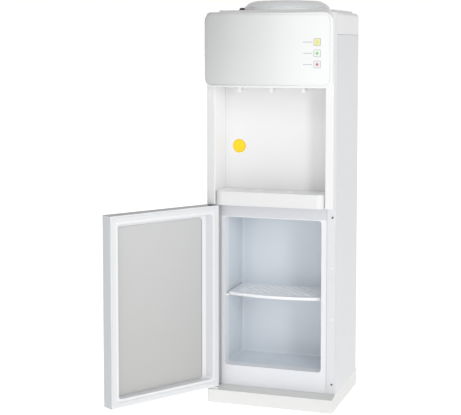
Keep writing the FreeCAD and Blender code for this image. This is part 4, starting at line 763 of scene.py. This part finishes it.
def floor_paint():
    """Pale matt floor, lit from below so that it melts into the surround."""
    finish = Finish("floor_paint")
    cloud = finish.noise(3.0, 2.0)
    finish.set(
        Base_Color=finish.blend(cloud, (0.92, 0.92, 0.92), (0.90, 0.90, 0.90)),
        Roughness=0.8 + cloud * 0.05,
        Emission_Color=(1.0, 1.0, 1.0),
        Emission_Strength=FLOOR_GLOW,
    )
    return finish.material


floor.data.materials.append(floor_paint())

# %% [markdown]
# The small pieces that repeat come from Geometry Nodes: a pattern with named sizes is run once on an empty
# mesh, and its result is kept as a plain mesh. The pattern ends by making its copies real and giving them a
# finish, because a copy that only points at its original is lost when the model is exported.

# %% What the patterns share


class Pattern(Bench):
    """A Geometry Nodes tree with named sizes, ending in real geometry with one finish."""

    def __init__(self, name, sizes):
        tree = bpy.data.node_groups.new(name, "GeometryNodeTree")
        super().__init__(tree)
        self.sizes = sizes
        self.identifiers = {}
        for label, value in sizes.items():
            kind = "NodeSocketInt" if isinstance(value, int) else "NodeSocketFloat"
            socket = tree.interface.new_socket(label, in_out="INPUT", socket_type=kind)
            self.identifiers[label] = socket.identifier
        tree.interface.new_socket("Geometry", in_out="OUTPUT", socket_type="NodeSocketGeometry")
        self.entry = tree.nodes.new("NodeGroupInput")

    def size(self, label):
        return Signal(self, self.entry.outputs[label])

    def vector(self, x=0.0, y=0.0, z=0.0):
        return self.node("ShaderNodeCombineXYZ", sockets={0: x, 1: y, 2: z})

    def joined(self, *geometries):
        join = self.tree.nodes.new("GeometryNodeJoinGeometry")
        for geometry in geometries:
            self.tree.links.new(geometry.socket, join.inputs[0])
        return Signal(self, join.outputs[0])

    def moved(self, geometry, offset=(0.0, 0.0, 0.0), turn=(0.0, 0.0, 0.0)):
        sockets = {"Geometry": geometry, "Translation": offset, "Rotation": turn}
        return self.node("GeometryNodeTransform", sockets=sockets)

    def copied(self, points, piece, rotation=(0.0, 0.0, 0.0)):
        sockets = {"Points": points, "Instance": piece, "Rotation": rotation}
        return self.node("GeometryNodeInstanceOnPoints", sockets=sockets)

    def row(self, count, start, step):
        """Points in a straight row."""
        sockets = {"Count": count, "Start Location": start, "Offset": step}
        return self.node("GeometryNodeMeshLine", {"mode": "OFFSET"}, sockets)

    def close(self, geometry, finish):
        real = self.node("GeometryNodeRealizeInstances", sockets={"Geometry": geometry})
        painted = self.node("GeometryNodeSetMaterial", sockets={"Geometry": real, "Material": finish})
        exit_node = self.tree.nodes.new("NodeGroupOutput")
        self.tree.links.new(painted.socket, exit_node.inputs[0])


def grown(name, pattern, body):
    """Runs a pattern and keeps its result as a plain mesh that rides on a body."""
    piece = linked(name, bpy.data.meshes.new(name))
    modifier = piece.modifiers.new("pattern", "NODES")
    modifier.node_group = pattern.tree
    for label, value in pattern.sizes.items():
        modifier[pattern.identifiers[label]] = value
    evaluated = piece.evaluated_get(bpy.context.evaluated_depsgraph_get())
    mesh = bpy.data.meshes.new_from_object(evaluated)
    piece.modifiers.remove(modifier)
    piece.data = mesh
    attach(piece, body)
    print(name, len(mesh.polygons), "faces")
    return piece


# %% [markdown]
# The condenser's wires are thin steel rods welded across the tube, much closer together than the heavier
# rods of the construction. One rod on a row of points gives the whole mat, and its size is read from the
# node that it stands for.

# %% Condenser wires
WIRE_INSET = 0.9 * MM       # from the mat's rear face to the rods' middles


def condenser_wires():
    low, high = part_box("condenser_wires")
    sizes = {"Count": 38, "Radius": 0.7 * MM, "Span": high.x - low.x, "Length": high.z - low.z}
    pattern = Pattern("wire_mat", sizes)
    radius, length = pattern.size("Radius"), pattern.size("Length")
    rod = pattern.node("GeometryNodeMeshCylinder", sockets={"Vertices": 8, "Radius": radius, "Depth": length})
    step = pattern.size("Span") / (pattern.size("Count") - 1)
    start = (low.x, high.y - WIRE_INSET, (low.z + high.z) / 2)
    points = pattern.row(pattern.size("Count"), start, pattern.vector(x=step))
    pattern.close(pattern.copied(points, rod), finishes["condenser_black"])
    wires = grown("condenser_wire_mat", pattern, "cabinet")
    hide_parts("condenser_wires")


condenser_wires()

# %% [markdown]
# Pan-head screws hold the rear sheet through the side panels' flanges. The head is a low cylinder with a
# rounded crown; a cross-shaped recess is cut into it once, before it is copied.

# %% Rear screws
CROWN_PLACE = 0.3           # the crown's middle, in shares of the head's height
CROWN_FLATNESS = 0.36       # the crown's rise, in shares of its radius
CROSS_LENGTH = 1.1          # the cross-shaped recess, in shares of the head's radius
CROSS_WIDTH = 0.24
CROSS_PLACE = 1.2           # the cutter's middle, in shares of the head's height


def pan_head(pattern):
    """A pan-head screw with a cross-shaped recess, pointing up."""
    radius, height = pattern.size("Head radius"), pattern.size("Head height")
    head = pattern.node("GeometryNodeMeshCylinder", sockets={"Vertices": 24, "Radius": radius, "Depth": height})
    ball = pattern.node("GeometryNodeMeshUVSphere", sockets={"Segments": 24, "Rings": 10, "Radius": radius})
    lift = pattern.vector(z=height * CROWN_PLACE)
    crown = pattern.node(
        "GeometryNodeTransform", sockets={"Geometry": ball, "Translation": lift, "Scale": (1.0, 1.0, CROWN_FLATNESS)}
    )
    slot_size = pattern.vector(radius * CROSS_LENGTH, radius * CROSS_WIDTH, height * 2.0)
    slot_long = pattern.node("GeometryNodeMeshCube", sockets={"Size": slot_size})
    slot_cross = pattern.moved(slot_long, turn=(0.0, 0.0, math.radians(90)))
    cut = pattern.moved(pattern.joined(slot_long, slot_cross), pattern.vector(z=height * CROSS_PLACE))
    solid = pattern.tree.nodes.new("GeometryNodeMeshBoolean")
    solid.operation = "UNION"
    pattern.tree.links.new(head.socket, solid.inputs[1])
    pattern.tree.links.new(crown.socket, solid.inputs[1])
    return pattern.node(
        "GeometryNodeMeshBoolean", {"operation": "DIFFERENCE"},
        {0: Signal(pattern, solid.outputs[0]), 1: cut},
    )


def rear_screws():
    low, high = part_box("rear_panel")
    side_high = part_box("side_panel_right")[1]
    inset, margin, height, count = 21.0 * MM, 30.0 * MM, 1.8 * MM, 6
    rise = (high.z - low.z - 2 * margin) / (count - 1)
    sizes = {"Count": count, "Head radius": 3.6 * MM, "Head height": height, "Step": rise}
    pattern = Pattern("pan_head_screws", sizes)
    screw = pattern.moved(pan_head(pattern), turn=(math.radians(-90), 0.0, 0.0))
    column_x, seat_y, base_z = side_high.x - inset, side_high.y + height / 2, low.z + margin
    step = pattern.vector(z=pattern.size("Step"))
    columns = [pattern.row(pattern.size("Count"), (side * column_x, seat_y, base_z), step) for side in (-1, 1)]
    pattern.close(pattern.copied(pattern.joined(*columns), screw), finishes["hinge_steel"])
    grown("rear_screws", pattern, "cabinet")


rear_screws()

# %% [markdown]
# The same pan head, darker and turned to the front, sits in each screw hole of the side panels' front flanges.
# It is sunk so far that only its crown shows, because the shut door comes close to the flanges.
# Two rows of two points stand at the corners of the box that the four screws fill.

# %% Front flange screws
FLANGE_SCREW_EDGE = 2.4 * MM        # from the screws' middles to the edge of their common box
CROWN_SUNK = 0.1 * MM               # how far behind the hole plugs' plane the crowns end


def flange_screw_heads():
    low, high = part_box("flange_screws")
    radius, height = 3.4 * MM, 1.4 * MM
    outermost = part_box("hole_plugs")[0].y + CROWN_SUNK
    seat_y = outermost + CROWN_PLACE * height + CROWN_FLATNESS * radius
    sizes = {
        "Head radius": radius, "Head height": height,
        "Column step": high.x - low.x - 2 * FLANGE_SCREW_EDGE, "Row step": high.z - low.z - 2 * FLANGE_SCREW_EDGE,
    }
    pattern = Pattern("flange_pan_heads", sizes)
    screw = pattern.moved(pan_head(pattern), turn=(math.radians(90), 0.0, 0.0))
    rise = pattern.vector(z=pattern.size("Row step"))
    column = pattern.row(2, (low.x + FLANGE_SCREW_EDGE, seat_y, low.z + FLANGE_SCREW_EDGE), rise)
    other = pattern.moved(column, pattern.vector(x=pattern.size("Column step")))
    pattern.close(pattern.copied(pattern.joined(column, other), screw), finishes["screw_steel"])
    grown("flange_screw_heads", pattern, "cabinet")


flange_screw_heads()

# %% [markdown]
# Beside each lamp stands a plain row of grey dashes. The rows are laid out flat and then pushed back along
# the fascia's bow, by the same circle that the silver face follows.

# %% Dashes beside the lamps


def lamp_dashes():
    front_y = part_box("fascia_panel")[0].y
    top, foot = middle_of("lamp_lens_upper")[2], middle_of("lamp_lens_lower")[2]
    count, pitch, gap = 6, 3.5 * MM, 6.0 * MM
    sizes = {
        "Dash length": 2.6 * MM, "Dash height": 1.9 * MM, "Dash pitch": pitch, "Dashes": count,
        "Rise": 0.12 * MM, "Bow radius": 2405.0 * MM,
    }
    pattern = Pattern("dash_rows", sizes)
    dash_size = pattern.vector(pattern.size("Dash length"), pattern.size("Rise") * 2, pattern.size("Dash height"))
    dash = pattern.node("GeometryNodeMeshCube", sockets={"Size": dash_size})
    start_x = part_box("lamp_lens_upper")[0].x - gap - (count - 1) * pitch
    rows = []
    for z in (top, (top + foot) / 2, foot):
        start = pattern.vector(start_x, front_y, z)
        rows.append(pattern.row(pattern.size("Dashes"), start, pattern.vector(x=pattern.size("Dash pitch"))))
    dashes = pattern.copied(pattern.joined(*rows), dash)
    real = pattern.node("GeometryNodeRealizeInstances", sockets={"Geometry": dashes})
    here = pattern.node("GeometryNodeInputPosition")
    x = pattern.node("ShaderNodeSeparateXYZ", sockets={0: here}, output="X")
    back = x * x / (pattern.size("Bow radius") * 2)
    bent = pattern.node("GeometryNodeSetPosition", sockets={"Geometry": real, "Offset": pattern.vector(y=back)})
    pattern.close(bent, finishes["lamp_frame"])
    grown("lamp_dashes", pattern, "cabinet")


lamp_dashes()

# %% [markdown]
# In the photograph the slots round the collar's foot are bright. A white ring behind them makes each slot read
# as a bright window. A rectangular profile swept round a circle makes the ring.

# %% White skirt inside the collar
SKIRT_INSET = 2.2 * MM      # from the collar's outside to the ring's middle
SKIRT_RISE = 3.5 * MM       # from the latch's foot to the ring's middle


def collar_skirt():
    low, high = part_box("bottle_collar")
    middle = (low + high) / 2
    reach = (high.x - low.x) / 2 - SKIRT_INSET
    pattern = Pattern("collar_skirt", {"Radius": reach, "Wall": 2.0 * MM, "Height": 6.0 * MM})
    circle = {"Resolution": 120, "Radius": pattern.size("Radius")}
    path = pattern.node("GeometryNodeCurvePrimitiveCircle", sockets=circle)
    section = {0: pattern.size("Wall"), 1: pattern.size("Height")}
    profile = pattern.node("GeometryNodeCurvePrimitiveQuadrilateral", sockets=section)
    skirt = pattern.node("GeometryNodeCurveToMesh", sockets={0: path, "Profile Curve": profile})
    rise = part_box("collar_latch")[0].z + SKIRT_RISE
    pattern.close(pattern.moved(skirt, (middle.x, middle.y, rise)), finishes["skirt_white"])
    grown("collar_skirt", pattern, "cabinet")


collar_skirt()

# %% [markdown]
# The latch that locks the collar is given a thumb piece: the photograph shows a dark spot there, and the piece's
# form is a guess. It is a small block whose top leans towards the collar. A bmesh box is enough: its vertices
# are set one by one, and then every edge is rounded.

# %% Thumb piece of the collar's latch


def latch_thumb():
    low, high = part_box("collar_latch")
    inset, height, lean, sunk, rounding = 1.0 * MM, 5.0 * MM, 3.0 * MM, 0.5 * MM, 1.2 * MM
    shape = bmesh.new()
    bmesh.ops.create_cube(shape, size=1.0)
    for corner in shape.verts:
        upper = corner.co.z > 0
        x = high.x - inset if corner.co.x > 0 else low.x + inset + (lean if upper else 0.0)
        y = high.y - inset if corner.co.y > 0 else low.y + inset
        corner.co = (x, y, high.z + height if upper else high.z - sunk)
    bmesh.ops.bevel(shape, geom=shape.edges, offset=rounding, segments=3, affect="EDGES", profile=0.5)
    mesh = bpy.data.meshes.new("latch_thumb")
    shape.to_mesh(mesh)
    shape.free()
    piece = linked("latch_thumb", mesh)
    mesh.materials.append(finishes["latch_dark"])
    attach(piece, "cabinet")
    print("latch_thumb", len(mesh.polygons), "faces")


latch_thumb()

# %% [markdown]
# The drain's cap is turned by hand, so its rim is knurled: a ring of small ribs, each a half-sunk rod.

# %% Knurls on the drain cap


def drain_knurls():
    low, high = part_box("drain_plug")
    middle = (low + high) / 2
    radius = (high.x - low.x) / 2
    rib_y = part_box("rear_panel")[1].y + 3.0 * MM
    sizes = {"Ribs": 28, "Ring radius": radius, "Rib radius": 0.7 * MM, "Rib length": 5.0 * MM}
    pattern = Pattern("cap_knurls", sizes)
    circle = {"Vertices": pattern.size("Ribs"), "Radius": pattern.size("Ring radius")}
    ring = pattern.node("GeometryNodeMeshCircle", sockets=circle)
    rod = {"Vertices": 8, "Radius": pattern.size("Rib radius"), "Depth": pattern.size("Rib length")}
    rib = pattern.node("GeometryNodeMeshCylinder", sockets=rod)
    place = (middle.x, rib_y, middle.z)
    knurls = pattern.moved(pattern.copied(ring, rib), place, (math.radians(90), 0.0, 0.0))
    pattern.close(knurls, finishes["switch_black"])
    grown("drain_cap_knurls", pattern, "cabinet")


drain_knurls()
